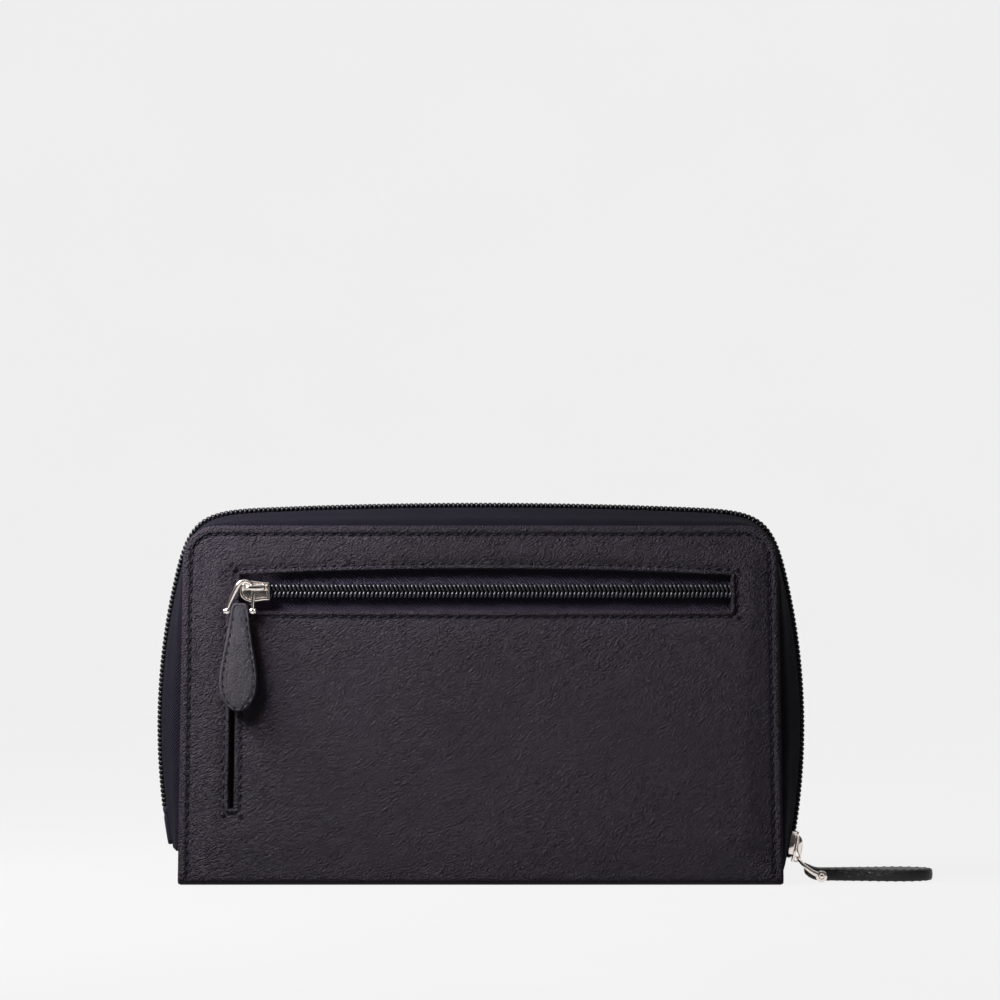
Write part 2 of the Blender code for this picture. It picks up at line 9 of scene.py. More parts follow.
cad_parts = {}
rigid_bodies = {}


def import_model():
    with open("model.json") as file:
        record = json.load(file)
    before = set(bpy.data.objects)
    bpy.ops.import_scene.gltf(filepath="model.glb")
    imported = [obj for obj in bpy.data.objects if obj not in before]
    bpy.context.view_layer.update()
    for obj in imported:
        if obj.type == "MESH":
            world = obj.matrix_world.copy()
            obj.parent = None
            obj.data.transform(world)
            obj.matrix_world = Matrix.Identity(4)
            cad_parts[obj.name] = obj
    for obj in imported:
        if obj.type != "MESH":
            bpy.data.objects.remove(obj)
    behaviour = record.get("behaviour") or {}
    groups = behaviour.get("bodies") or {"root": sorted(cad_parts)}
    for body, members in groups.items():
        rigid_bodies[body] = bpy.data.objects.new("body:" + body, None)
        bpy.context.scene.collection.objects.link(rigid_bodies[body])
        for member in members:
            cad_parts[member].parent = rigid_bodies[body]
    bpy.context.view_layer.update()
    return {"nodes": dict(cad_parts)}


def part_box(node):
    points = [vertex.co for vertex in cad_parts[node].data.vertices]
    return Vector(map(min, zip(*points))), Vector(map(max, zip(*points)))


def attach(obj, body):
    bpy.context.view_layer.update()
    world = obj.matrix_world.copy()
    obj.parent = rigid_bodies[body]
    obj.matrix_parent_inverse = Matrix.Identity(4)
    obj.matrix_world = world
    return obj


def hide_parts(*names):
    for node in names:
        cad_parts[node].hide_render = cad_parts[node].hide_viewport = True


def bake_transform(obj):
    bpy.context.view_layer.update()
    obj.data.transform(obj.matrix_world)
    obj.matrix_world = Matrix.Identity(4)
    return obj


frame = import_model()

for startup in [o for o in bpy.data.objects if o.name in ("Cube", "Light", "Camera")]:
    bpy.data.objects.remove(startup, do_unlink=True)


# ---- Outer hide ------------------------------------------------------------------------------
# One soft grained hide makes the front cover, the fold, the spine and the back cover. Its side
# and top edges are turned in over a thin board and stitched, so the middle puffs up a little.
# Two openings with turned lips are cut in the front: a zip window and a slip pocket slit.
MM = 0.001
cover_low, cover_high = (np.array(corner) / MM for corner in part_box("front_cover"))
HIDE_HALF = float(cover_high[0])
HIDE_TOP = float(cover_high[2])
HIDE_FACE = float(-cover_low[1])
HIDE_THICK = 1.25
HIDE_TAPER = 1.6 / 98.0
CORNER_R = 10.0
FOLD_R = 2.2
STITCH_INSET = 2.7
WINDOW_LEFT, WINDOW_RIGHT = -73.2, 76.2
WINDOW_FOOT, WINDOW_TOP = 82.6, 92.9
WINDOW_BOW = 1.9
SLIT_LEFT, SLIT_RIGHT = -75.8, -74.5
SLIT_FOOT, SLIT_TOP = 23.2, 80.0
LIP = 1.9


def ease(t):
    t = np.clip(t, 0.0, 1.0)
    return t * t * (3.0 - 2.0 * t)


def dip(distance, depth, width):
    """A rounded groove of that depth centred on distance 0."""
    return -depth * np.exp(-((distance / width) ** 2))


def box_distance(x, z, left, right, foot, top):
    """Distance outside a rectangle, 0 on its edge."""
    dx = np.maximum(np.maximum(left - x, x - right), 0.0)
    dz = np.maximum(np.maximum(foot - z, z - top), 0.0)
    return np.hypot(dx, dz)


def edge_inset(x, z):
    """How far in from the cover's side and top edges a point lies."""
    side = HIDE_HALF - np.abs(x)
    top = HIDE_TOP - z
    return np.minimum(side, top)


def panel_height(x, z, front):
    """How far the leather stands out from its flat face, in millimetres."""
    inset = edge_inset(x, z)
    height = -0.55 * (1.0 - ease(inset / 0.7)) + 0.12 * (1 - ease((inset - 1.9) / 0.8))
    height = height + dip(inset - STITCH_INSET, 0.32, 0.5)
    puff = ease((inset - STITCH_INSET) / 9.0) * ease(z / 15.0)
    height = height + (0.7 if front else 0.5) * puff
    waves = np.sin(x * 0.071 + 1.3) * np.sin(z * 0.083 + 0.4) + 0.6 * np.sin(x * 0.043 - z * 0.061)
    waves = waves + 0.45 * np.sin(x * 0.131 + z * 0.09 + 2.0)
    height = height + 0.16 * waves * puff
    height = height - 0.7 * ease((z - 93.0) / 14.0) * puff
    if not front:
        return height
    lips = (
        (box_distance(x, z, WINDOW_LEFT, WINDOW_RIGHT, WINDOW_FOOT, WINDOW_TOP), 1.0),
        (box_distance(x, z, SLIT_LEFT, SLIT_RIGHT, SLIT_FOOT, SLIT_TOP), 0.75),
    )
    for distance, amount in lips:
        near = 1.0 - ease((distance - LIP) / 5.0)
        height = height * (1.0 - 0.75 * near * amount)
        height = height + 0.14 * amount * (1.0 - ease((distance - 1.1) / 0.7))
        height = height - 0.6 * amount * (1.0 - ease(distance / 0.45))
        height = height + dip(distance - LIP, 0.3 * amount, 0.45)
    left_lip = np.exp(-((x - SLIT_LEFT + 0.7) / 0.9) ** 2)
    left_lip = left_lip * ease((z - SLIT_FOOT) / 9.0) * ease((SLIT_TOP + 8.0 - z) / 12.0)
    return height + 0.35 * left_lip


def lines_between(stops, step):
    """Sorted grid lines: every stop, and even lines no more than step apart between them."""
    stops = sorted(stops)
    kept = [stops[0]]
    for stop in stops[1:]:
        gap = stop - kept[-1]
        if gap < 0.12:
            continue
        count = max(int(math.ceil(gap / step)), 1)
        start = kept[-1]
        kept.extend(start + gap * (i + 1) / count for i in range(count))
    return kept


RIM_LINES = (0.0, 0.2, 0.45, 0.8, 1.4, 1.9, 2.2, 2.45, 2.7, 2.95, 3.3, 4.0, 5.2, 7.0, 10.0)
LIP_LINES = (0.0, 0.15, 0.35, 0.6, 1.0, 1.4, 1.65, 1.9, 2.15, 2.5, 3.3, 4.6, 6.5)
x_stops = [side * (HIDE_HALF - rim) for rim in RIM_LINES for side in (-1, 1)]
x_stops += [WINDOW_LEFT - lip for lip in LIP_LINES[:9]] + [WINDOW_RIGHT + lip for lip in LIP_LINES[:9]]
x_stops += [SLIT_LEFT - lip for lip in LIP_LINES[:10]] + [SLIT_RIGHT + lip for lip in LIP_LINES[:10]]
x_stops = [x for x in x_stops if x in (SLIT_LEFT, SLIT_RIGHT, WINDOW_LEFT, WINDOW_RIGHT) or not (
    any(0 < abs(x - edge) < 0.12 for edge in (SLIT_LEFT, SLIT_RIGHT, WINDOW_LEFT, WINDOW_RIGHT)))]
x_lines = lines_between(x_stops, 2.0)
z_stops = [HIDE_TOP - rim for rim in RIM_LINES] + [FOLD_R]
z_stops += [WINDOW_TOP + lip for lip in LIP_LINES[:9]] + [WINDOW_FOOT - lip for lip in LIP_LINES[:8]]
z_stops += [SLIT_FOOT - lip for lip in LIP_LINES[:10]] + [SLIT_TOP, SLIT_TOP - 0.5, SLIT_TOP - 1.5]
z_lines = lines_between(z_stops, 2.0)


def rounded(x, z, half, top, radius):
    """Bends the square top corners of a grid round, keeping each line's distance from the edge."""
    dx = abs(x) - (half - radius)
    dz = z - (top - radius)
    if dx <= 0 or dz <= 0:
        return x, z
    reach = max(dx, dz)
    angle = math.pi / 4 * dz / dx if dx >= dz else math.pi / 2 - math.pi / 4 * dx / dz
    x = math.copysign(half - radius + reach * math.cos(angle), x)
    return x, top - radius + reach * math.sin(angle)


def window_bow(x, z):
    """The zip pushes the upper lip of the window up in the middle."""
    across = max(1.0 - (x / 76.0) ** 2, 0.0)
    if z <= WINDOW_FOOT:
        return -0.25 * across * ease((z - WINDOW_FOOT + 8.0) / 8.0)
    rise = ease((z - WINDOW_FOOT) / (WINDOW_TOP - WINDOW_FOOT))
    return WINDOW_BOW * across * rise * ease((HIDE_TOP - 2.0 - z) / 10.0)


def hide_point(x, stop, front, lift):
    """A point of the hide: stop counts down the front, round the fold and over the spine."""
    kind, value = stop
    if kind == "panel":
        height = panel_height(x, value, front) + lift
        x, z = rounded(x, value, HIDE_HALF, HIDE_TOP, CORNER_R)
        if front:
            z += window_bow(x, z)
        x *= 1.0 - HIDE_TAPER * z / HIDE_HALF
        return (x, -(HIDE_FACE + height), z)
    x *= 1.0 - HIDE_TAPER * FOLD_R / HIDE_HALF
    inset = HIDE_HALF - abs(x)
    drop = 0.35 * (1.0 - ease(inset / 0.8))
    if kind == "fold":
        reach = FOLD_R + lift - drop
        return (x, -(HIDE_FACE - FOLD_R) - reach * math.cos(value), FOLD_R - reach * math.sin(value))
    return (x, -value, -lift + drop)


half_stops = [("panel", z) for z in reversed(z_lines)]
half_stops += [("fold", math.radians(a)) for a in (12, 24, 36, 48, 60, 72, 84)]
half_stops += [("spine", y) for y in (10.8, 9.6, 8.4, 6.5, 4.0, 2.0)]
hide_rows = [(stop, True) for stop in half_stops] + [(("spine", 0.0), True)]
hide_rows += [(stop, False) for stop in reversed(half_stops)]


def hide_cell_open(x0, x1, row0, row1):
    """True where the window or the slit is cut through."""
    if row0[0][0] != "panel" or row1[0][0] != "panel" or not row0[1]:
        return False
    x = (x0 + x1) / 2
    z = (row0[0][1] + row1[0][1]) / 2
    in_window = WINDOW_LEFT < x < WINDOW_RIGHT and WINDOW_FOOT < z < WINDOW_TOP
    in_slit = SLIT_LEFT < x < SLIT_RIGHT and SLIT_FOOT < z < SLIT_TOP
    return in_window or in_slit


def hide_surface(lift):
    points = []
    for stop, front in hide_rows:
        for x in x_lines:
            px, py, pz = hide_point(x, stop, front, lift)
            points.append((px * MM, (py if front else -py) * MM, pz * MM))
    return points


def link_piece(name, mesh, finish):
    mesh.materials.clear()
    mesh.materials.append(finish)
    mesh.shade_smooth()
    piece = bpy.data.objects.new(name, mesh)
    bpy.context.scene.collection.objects.link(piece)
    return piece


def add_piece(name, points, faces, finish):
    mesh = bpy.data.meshes.new(name)
    mesh.from_pydata(points, [], faces)
    mesh.validate()
    return link_piece(name, mesh, finish)


def make_hide(finish):
    outside = hide_surface(0.0)
    inside = hide_surface(-HIDE_THICK)
    columns = len(x_lines)
    shift = len(outside)
    faces = []
    edge_use = {}
    for r in range(len(hide_rows) - 1):
        for c in range(columns - 1):
            if hide_cell_open(x_lines[c], x_lines[c + 1], hide_rows[r], hide_rows[r + 1]):
                continue
            a, b = r * columns + c, r * columns + c + 1
            d, e = a + columns, b + columns
            face = (a, d, e, b)
            faces.append(face)
            faces.append(tuple(shift + i for i in reversed(face)))
            for start, end in zip(face, face[1:] + face[:1]):
                edge_use[(start, end)] = True
    for start, end in edge_use:
        if (end, start) not in edge_use:
            faces.append((end, start, start + shift, end + shift))
    return add_piece("outer_hide", outside + inside, faces, finish)


def new_group(name, inputs, outputs):
    tree = bpy.data.node_groups.new(name, "ShaderNodeTree")
    for title, kind, value in inputs:
        socket = tree.interface.new_socket(name=title, in_out="INPUT", socket_type=kind)
        if value is not None:
            socket.default_value = value
    for title, kind in outputs:
        tree.interface.new_socket(name=title, in_out="OUTPUT", socket_type=kind)
    return tree


def add_node(tree, kind, **settings):
    """A node with its properties set by name and its sockets by title or number."""
    node = tree.nodes.new(kind)
    for key, value in settings.items():
        if key.startswith("in_"):
            title = key[3:]
            socket = node.inputs[int(title)] if title.isdigit() else node.inputs[title.replace("_", " ")]
            socket.default_value = value
        else:
            setattr(node, key, value)
    return node


def add_math(tree, operation, first, second=None):
    node = tree.nodes.new("ShaderNodeMath")
    node.operation = operation
    for i, value in enumerate((first, second)):
        if value is None:
            continue
        if isinstance(value, (int, float)):
            node.inputs[i].default_value = value
        else:
            tree.links.new(value, node.inputs[i])
    return node.outputs[0]


def add_noise(tree, vector, scale, detail, **settings):
    noise = add_node(tree, "ShaderNodeTexNoise", in_Scale=scale, in_Detail=detail, **settings)
    tree.links.new(vector, noise.inputs["Vector"])
    return noise


def scaled(tree, value, factor, offset=0.0):
    product = add_math(tree, "MULTIPLY", value, factor)
    return add_math(tree, "ADD", product, offset) if offset else product


def build_grain_group():
    """Leather grain: pebbles, patchy slanting creases and slow changes of tone."""
    tree = new_group(
        "hide_grain",
        (("Vector", "NodeSocketVector", None), ("Pebbles per metre", "NodeSocketFloat", 1000.0),
         ("Creases per metre", "NodeSocketFloat", 640.0), ("Crease depth", "NodeSocketFloat", 0.7)),
        (("Height", "NodeSocketFloat"), ("Tone", "NodeSocketFloat")),
    )
    entry = tree.nodes.new("NodeGroupInput")
    out = tree.nodes.new("NodeGroupOutput")
    link = tree.links.new
    place = entry.outputs["Vector"]
    slanted = add_node(tree, "ShaderNodeMapping", vector_type="TEXTURE")
    slanted.inputs["Rotation"].default_value = (0.0, -0.6, 0.0)
    slanted.inputs["Scale"].default_value = (1.9, 1.0, 0.85)
    link(place, slanted.inputs["Vector"])
    bent = add_noise(tree, slanted.outputs["Vector"], 260.0, 2.0)
    shifted = add_node(tree, "ShaderNodeVectorMath", operation="MULTIPLY_ADD", in_1=(0.0022, 0.0022, 0.0022))
    link(bent.outputs["Color"], shifted.inputs[0])
    link(slanted.outputs["Vector"], shifted.inputs[2])
    pebbles = add_node(tree, "ShaderNodeTexVoronoi", feature="DISTANCE_TO_EDGE", in_Randomness=1.0)
    link(shifted.outputs["Vector"], pebbles.inputs["Vector"])
    link(entry.outputs["Pebbles per metre"], pebbles.inputs["Scale"])
    creases = add_noise(tree, slanted.outputs["Vector"], 1.0, 3.0, in_Roughness=0.6, in_Distortion=0.3)
    link(entry.outputs["Creases per metre"], creases.inputs["Scale"])
    folded = add_math(tree, "ABSOLUTE", add_math(tree, "SUBTRACT", creases.outputs["Fac"], 0.5))
    sharp = add_math(tree, "MINIMUM", scaled(tree, folded, 9.0), 1.0)
    patches = add_noise(tree, place, 32.0, 2.0, in_Roughness=0.5)
    patch = scaled(tree, add_math(tree, "SUBTRACT", patches.outputs["Fac"], 0.36), 3.6)
    patch.node.use_clamp = True
    fine = add_noise(tree, place, 2600.0, 3.0, in_Roughness=0.6).outputs["Fac"]
    cell = add_math(tree, "MINIMUM", scaled(tree, pebbles.outputs["Distance"], 4.0), 1.0)
    pebble_height = add_math(tree, "MULTIPLY", cell, scaled(tree, patch, 0.4, 0.35))
    folds = add_math(tree, "MULTIPLY", sharp, scaled(tree, patch, 0.6, 0.4))
    crease_height = add_math(tree, "MULTIPLY", folds, entry.outputs["Crease depth"])
    both = add_math(tree, "ADD", pebble_height, crease_height)
    link(add_math(tree, "ADD", both, scaled(tree, fine, 0.22)), out.inputs["Height"])
    broad = add_noise(tree, place, 14.0, 3.0, in_Roughness=0.55)
    tone = add_math(tree, "ADD", scaled(tree, broad.outputs["Fac"], 0.65), scaled(tree, fine, 0.35))
    link(tone, out.inputs["Tone"])
    return tree


hide_grain = build_grain_group()


def start_finish(name, rough, shine):
    """A new material: itself, its tree, its shader and the node that gives places."""
    material = bpy.data.materials.new(name)
    material.use_nodes = True
    tree = material.node_tree
    shader = tree.nodes["Principled BSDF"]
    shader.inputs["Roughness"].default_value = rough
    shader.inputs["Specular IOR Level"].default_value = shine
    return material, tree, shader, tree.nodes.new("ShaderNodeTexCoord")


def add_tone(tree, value, target, *stops):
    """Turns a value into a colour through a ramp of (position, colour) stops."""
    tone = tree.nodes.new("ShaderNodeValToRGB")
    for element, (position, colour) in zip(tone.color_ramp.elements, stops):
        element.position = position
        element.color = (*colour, 1.0)
    tree.links.new(value, tone.inputs["Fac"])
    tree.links.new(tone.outputs["Color"], target)


def add_bump(tree, height, shader, strength, distance):
    bump = add_node(tree, "ShaderNodeBump", in_Strength=strength, in_Distance=distance)
    tree.links.new(height, bump.inputs["Height"])
    tree.links.new(bump.outputs["Normal"], shader.inputs["Normal"])


def leather_finish(name, dark, light, rough, pebbles=1350.0, crease=0.55, depth=0.0005, shine=0.12):
    material, tree, shader, place = start_finish(name, rough, shine)
    grain = add_node(tree, "ShaderNodeGroup", node_tree=hide_grain)
    grain.inputs["Pebbles per metre"].default_value = pebbles
    grain.inputs["Crease depth"].default_value = crease
    tree.links.new(place.outputs["Object"], grain.inputs["Vector"])
    add_tone(tree, grain.outputs["Tone"], shader.inputs["Base Color"], (0.32, dark), (0.72, light))
    tree.links.new(scaled(tree, grain.outputs["Tone"], 0.16, rough - 0.08), shader.inputs["Roughness"])
    add_bump(tree, grain.outputs["Height"], shader, 1.0, depth)
    return material


hide_finish = leather_finish("aubergine_hide", (0.0086, 0.0061, 0.0109), (0.0246, 0.0178, 0.0282), 0.62)
outer_hide = make_hide(hide_finish)
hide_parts("front_cover", "front_fold", "spine", "back_cover")
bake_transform(outer_hide)


# ---- Cover stitching -------------------------------------------------------------------------
# Dark navy thread, lock-stitched through both plies. It runs down both sides and along the top
# of each cover, round the zip window, and along both lips and the foot of the slip pocket.
STITCH_PITCH = 2.9
STITCH_LONG = 1.9
THREAD_R = 0.34


def build_row_tree():
    """Repeats one piece along a path of edges, turned to follow the path."""
    tree = bpy.data.node_groups.new("row_along", "GeometryNodeTree")
    inputs = (("Geometry", "Geometry"), ("Pitch", "Float"), ("Across", "Vector"), ("Piece", "Object"),
              ("Finish", "Material"))
    for title, kind in inputs:
        tree.interface.new_socket(name=title, in_out="INPUT", socket_type=f"NodeSocket{kind}")
    tree.interface.new_socket(name="Geometry", in_out="OUTPUT", socket_type="NodeSocketGeometry")
    entry = tree.nodes.new("NodeGroupInput")
    out = tree.nodes.new("NodeGroupOutput")
    line = tree.nodes.new("GeometryNodeMeshToCurve")
    spots = add_node(tree, "GeometryNodeCurveToPoints", mode="LENGTH")
    along = add_node(tree, "FunctionNodeAlignRotationToVector", axis="X")
    across = add_node(tree, "FunctionNodeAlignRotationToVector", axis="Y", pivot_axis="X")
    piece = tree.nodes.new("GeometryNodeObjectInfo")
    copies = tree.nodes.new("GeometryNodeInstanceOnPoints")
    real = tree.nodes.new("GeometryNodeRealizeInstances")
    painted = tree.nodes.new("GeometryNodeSetMaterial")
    joins = (
        (entry, "Geometry", line, "Mesh"), (line, "Curve", spots, "Curve"), (entry, "Pitch", spots, "Length"),
        (spots, "Tangent", along, "Vector"), (along, "Rotation", across, "Rotation"),
        (entry, "Across", across, "Vector"), (entry, "Piece", piece, "Object"),
        (spots, "Points", copies, "Points"), (piece, "Geometry", copies, "Instance"),
        (across, "Rotation", copies, "Rotation"), (copies, "Instances", real, "Geometry"),
        (real, "Geometry", painted, "Geometry"), (entry, "Finish", painted, "Material"),
        (painted, "Geometry", out, "Geometry"),
    )
    for source, title, target, slot in joins:
        tree.links.new(source.outputs[title], target.inputs[slot])
    return tree


row_tree = build_row_tree()


def repeat_along(name, paths, pitch, across, piece, finish):
    """Bakes one row, or several, of a repeated piece; paths are lists of points in millimetres."""
    points = []
    edges = []
    for path in paths:
        start = len(points)
        points += [tuple(v * MM for v in p) for p in path]
        edges += [(i, i + 1) for i in range(start, len(points) - 1)]
    mesh = bpy.data.meshes.new(name + "_path")
    mesh.from_pydata(points, edges, [])
    host = bpy.data.objects.new(name + "_path", mesh)
    bpy.context.scene.collection.objects.link(host)
    row = host.modifiers.new("row", "NODES")
    row.node_group = row_tree
    values = {"Pitch": pitch * MM, "Across": across, "Piece": piece, "Finish": finish}
    for item in row_tree.interface.items_tree:
        if item.in_out == "INPUT" and item.name in values:
            row[item.identifier] = values[item.name]
    graph = bpy.context.evaluated_depsgraph_get()
    baked = bpy.data.meshes.new_from_object(host.evaluated_get(graph))
    bpy.data.objects.remove(host, do_unlink=True)
    baked.name = name
    return link_piece(name, baked, finish)


def tube_faces(rings, sides, closed=False):
    faces = []
    count = rings if closed else rings - 1
    for i in range(count):
        for j in range(sides):
            a = i * sides + j
            b = i * sides + (j + 1) % sides
            c = ((i + 1) % rings) * sides + (j + 1) % sides
            d = ((i + 1) % rings) * sides + j
            faces.append((a, b, c, d))
    return faces


def make_stitch():
    """One stitch: a short fat thread that dives into the leather at both ends."""
    points = []
    sides = 5
    half = STITCH_LONG / 2
    shape = ((-1.0, 0.35, -0.25), (-0.72, 0.85, -0.02), (0.0, 1.0, 0.06), (0.72, 0.85, -0.02),
             (1.0, 0.35, -0.25))
    for along, fat, lift in shape:
        for j in range(sides):
            angle = 2 * math.pi * j / sides
            y = THREAD_R * fat * math.cos(angle) + lift
            z = THREAD_R * fat * math.sin(angle)
            points.append((along * half * MM, y * MM, z * MM))
    faces = [tuple(reversed(f)) for f in tube_faces(len(shape), sides)]
    faces.append(tuple(range(sides)))
    faces.append(tuple(reversed(range(len(points) - sides, len(points)))))
    return points, faces


def hidden_master(name, points, faces, finish):
    """A piece that is only repeated elsewhere, kept out of the scene."""
    mesh = bpy.data.meshes.new(name)
    mesh.from_pydata(points, [], faces)
    mesh.materials.append(finish)
    mesh.shade_smooth()
    return bpy.data.objects.new(name, mesh)


def thread_finish(name, colour):
    material, tree, shader, place = start_finish(name, 0.75, 0.2)
    twist = add_noise(tree, place.outputs["Object"], 3000.0, 1.0)
    add_tone(tree, twist.outputs["Fac"], shader.inputs["Base Color"],
             (0.0, [c * 0.6 for c in colour]), (1.0, [c * 1.5 for c in colour]))
    return material


navy_thread = thread_finish("navy_thread", (0.0035, 0.0035, 0.0085))
stitch_points, stitch_faces = make_stitch()
stitch = hidden_master("stitch_master", stitch_points, stitch_faces, navy_thread)


def on_cover(x, z, front):
    """Point on the leather's outer face at flat cover position x, z."""
    px, py, pz = hide_point(x, ("panel", z), front, 0.02)
    return (px, py if front else -py, pz)


def cover_path(front):
    """Up one side, over the top and down the other, a stitch line's inset from the edge."""
    side = HIDE_HALF - STITCH_INSET
    top = HIDE_TOP - STITCH_INSET
    heights = np.linspace(4.5, top, 70)
    path = [on_cover(-side, z, front) for z in heights]
    path += [on_cover(x, top, front) for x in np.linspace(-side, side, 130)[1:-1]]
    path += [on_cover(side, z, front) for z in reversed(heights)]
    return path if front else list(reversed(path))


def straight(x0, z0, x1, z1, count=60):
    return [on_cover(x0 + (x1 - x0) * i / count, z0 + (z1 - z0) * i / count, True) for i in range(count + 1)]


left, right = WINDOW_LEFT - LIP, WINDOW_RIGHT + LIP
foot, top = WINDOW_FOOT - LIP, WINDOW_TOP + LIP
window_rows = [straight(left, top, right, top), straight(right, top, right, foot, 12),
               straight(right, foot, left, foot), straight(left, foot, left, top, 12)]
left, right = SLIT_LEFT - LIP, SLIT_RIGHT + LIP
foot, top = SLIT_FOOT - LIP, SLIT_TOP - 3.0
slit_rows = [straight(left, top, left, foot), straight(left, foot, right, foot, 8),
             straight(right, foot, right, top)]
front_rows = [cover_path(True)] + window_rows + slit_rows
front_stitching = repeat_along("front_stitching", front_rows, STITCH_PITCH, (0, -1, 0), stitch, navy_thread)
back_stitching = repeat_along("back_stitching", [cover_path(False)], STITCH_PITCH, (0, 1, 0), stitch,
                              navy_thread)
for piece, body in ((front_stitching, "front"), (back_stitching, "back")):
    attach(piece, body)


# ---- Main zip tapes --------------------------------------------------------------------------
# Two dark navy twill tapes are sewn behind the cover edges. They come out from under the leather
# and rise to the teeth, standing furthest out at mid height and almost vanishing at the corners.
ARC_R = 200.0
ARC_X = 102.0
ARC_Z = 47.0
SIDE_TOP = 87.0
TOP_FLAT_R = 1500.0
CROWN = 114.7
TOP_RUN = 66.0
COIL_HIGH = 0.8
TAPE_BELOW = 1.65
TAPE_THICK = 0.45


def zip_side(low, high, count):
    angles = np.linspace(math.asin((low - ARC_Z) / ARC_R), math.asin((high - ARC_Z) / ARC_R), count)
    return [Vector((ARC_R * math.cos(a) - ARC_X, ARC_Z + ARC_R * math.sin(a))) for a in angles]


def zip_corner(count):
    """Soft corner from the side arc to the top arc, as one cubic curve."""
    lean = math.asin((SIDE_TOP - ARC_Z) / ARC_R)
    start = Vector((ARC_R * math.cos(lean) - ARC_X, SIDE_TOP))
    slope = TOP_RUN / TOP_FLAT_R
    end = Vector((TOP_RUN, CROWN - TOP_RUN * slope / 2))
    rise = Vector((-math.sin(lean), math.cos(lean)))
    run = Vector((1.0, -slope))
    cross = rise.x * run.y - rise.y * run.x
    gap = end - start
    first = start + rise * 0.9 * (gap.x * run.y - gap.y * run.x) / cross
    second = end + run * 0.9 * (gap.x * rise.y - gap.y * rise.x) / cross
    points = []
    for i in range(1, count + 1):
        t = i / count
        s = 1 - t
        points.append(s ** 3 * start + 3 * s * s * t * first + 3 * s * t * t * second + t ** 3 * end)
    return points


def zip_line(left_foot, right_foot):
    right = zip_side(right_foot, SIDE_TOP, 60) + zip_corner(40)
    left = zip_side(left_foot, SIDE_TOP, 60) + zip_corner(40)
    top = [Vector((x, CROWN - x * x / (2 * TOP_FLAT_R))) for x in np.linspace(-TOP_RUN, TOP_RUN, 70)[1:-1]]
    return [Vector((-p.x, p.y)) for p in left] + top + list(reversed(right))


def line_normals(points):
    normals = []
    for i in range(len(points)):
        run = (points[min(i + 1, len(points) - 1)] - points[max(i - 1, 0)]).normalized()
        normals.append(Vector((-run.y, run.x)))
    return normals


def cover_edge(point):
    """Nearest point of the cover's edge, and the way out from it."""
    top = HIDE_TOP - CORNER_R
    half_top = HIDE_HALF - CORNER_R - HIDE_TAPER * HIDE_TOP
    corners = [Vector(c) for c in ((HIDE_HALF - CORNER_R, 0), (half_top, top), (-half_top, top),
                                   (CORNER_R - HIDE_HALF, 0))]
    best = None
    for start, stop in zip(corners[:-1], corners[1:]):
        run = stop - start
        t = min(max((point - start).dot(run) / run.length_squared, 0.0), 1.0)
        spot = start + run * t
        if best is None or (point - spot).length < (point - best).length:
            best = spot
    out = (point - best).normalized()
    return best + out * CORNER_R, out


def soft_curve(controls, steps):
    """Points on a smooth curve through the control points, with their order kept."""
    padded = [2 * controls[0] - controls[1]] + list(controls) + [2 * controls[-1] - controls[-2]]
    points = []
    for i in range(len(controls) - 1):
        a, b, c, d = padded[i:i + 4]
        for k in range(steps):
            t = k / steps
            points.append(0.5 * (2 * b + (c - a) * t + (2 * a - 5 * b + 4 * c - d) * t * t
                                 + (3 * b - a - 3 * c + d) * t ** 3))
    return points + [controls[-1]]


def tape_section(point, normal, travelled):
    """Middle line across the tape at one place, as (x, distance from the middle plane, z)."""
    edge, out = cover_edge(point)
    bulge = (point - edge).length
    ripple = 0.1 * math.sin(travelled * 0.39) + 0.07 * math.sin(travelled * 0.17 + 1.0)
    shoulder = edge + out * (0.3 * bulge - 0.6 + ripple)
    middle = edge + out * (0.72 * bulge - 1.6 + 0.6 * ripple)
    high = point - normal * TAPE_BELOW
    controls = [
        Vector((*(edge - out * 4.6), 11.2)), Vector((*(edge - out * 1.4), 11.2)),
        Vector((*shoulder, 9.9)), Vector((*middle, 6.6)),
        Vector((*high, 3.2)), Vector((*high, 0.9)),
    ]
    return [Vector((p.x, p.z, p.y)) for p in soft_curve(controls, 4)]


def build_weave_group():
    """Twill cloth read from the piece's own map, in metres along and across it."""
    tree = new_group(
        "twill_weave",
        (("Vector", "NodeSocketVector", None), ("Ribs per metre", "NodeSocketFloat", 950.0)),
        (("Height", "NodeSocketFloat"), ("Tone", "NodeSocketFloat")),
    )
    entry = tree.nodes.new("NodeGroupInput")
    out = tree.nodes.new("NodeGroupOutput")
    parts = add_node(tree, "ShaderNodeSeparateXYZ")
    tree.links.new(entry.outputs["Vector"], parts.inputs["Vector"])
    ribs = scaled(tree, entry.outputs["Ribs per metre"], 2 * math.pi)
    along, over = parts.outputs["X"], parts.outputs["Y"]
    slant = add_math(tree, "ADD", along, over)
    counter = add_math(tree, "SUBTRACT", along, scaled(tree, over, 1.6))
    first = add_math(tree, "SINE", add_math(tree, "MULTIPLY", slant, ribs))
    second = add_math(tree, "SINE", add_math(tree, "MULTIPLY", counter, ribs))
    woven = add_math(tree, "ADD", scaled(tree, first, 0.34), scaled(tree, second, 0.2))
    fuzz = add_noise(tree, entry.outputs["Vector"], 1500.0, 2.0)
    raised = add_math(tree, "ADD", woven, 0.5)
    height = add_math(tree, "ADD", raised, scaled(tree, fuzz.outputs["Fac"], 0.4))
    tree.links.new(height, out.inputs["Height"])
    tree.links.new(scaled(tree, height, 0.75), out.inputs["Tone"])
    return tree


twill_weave = build_weave_group()


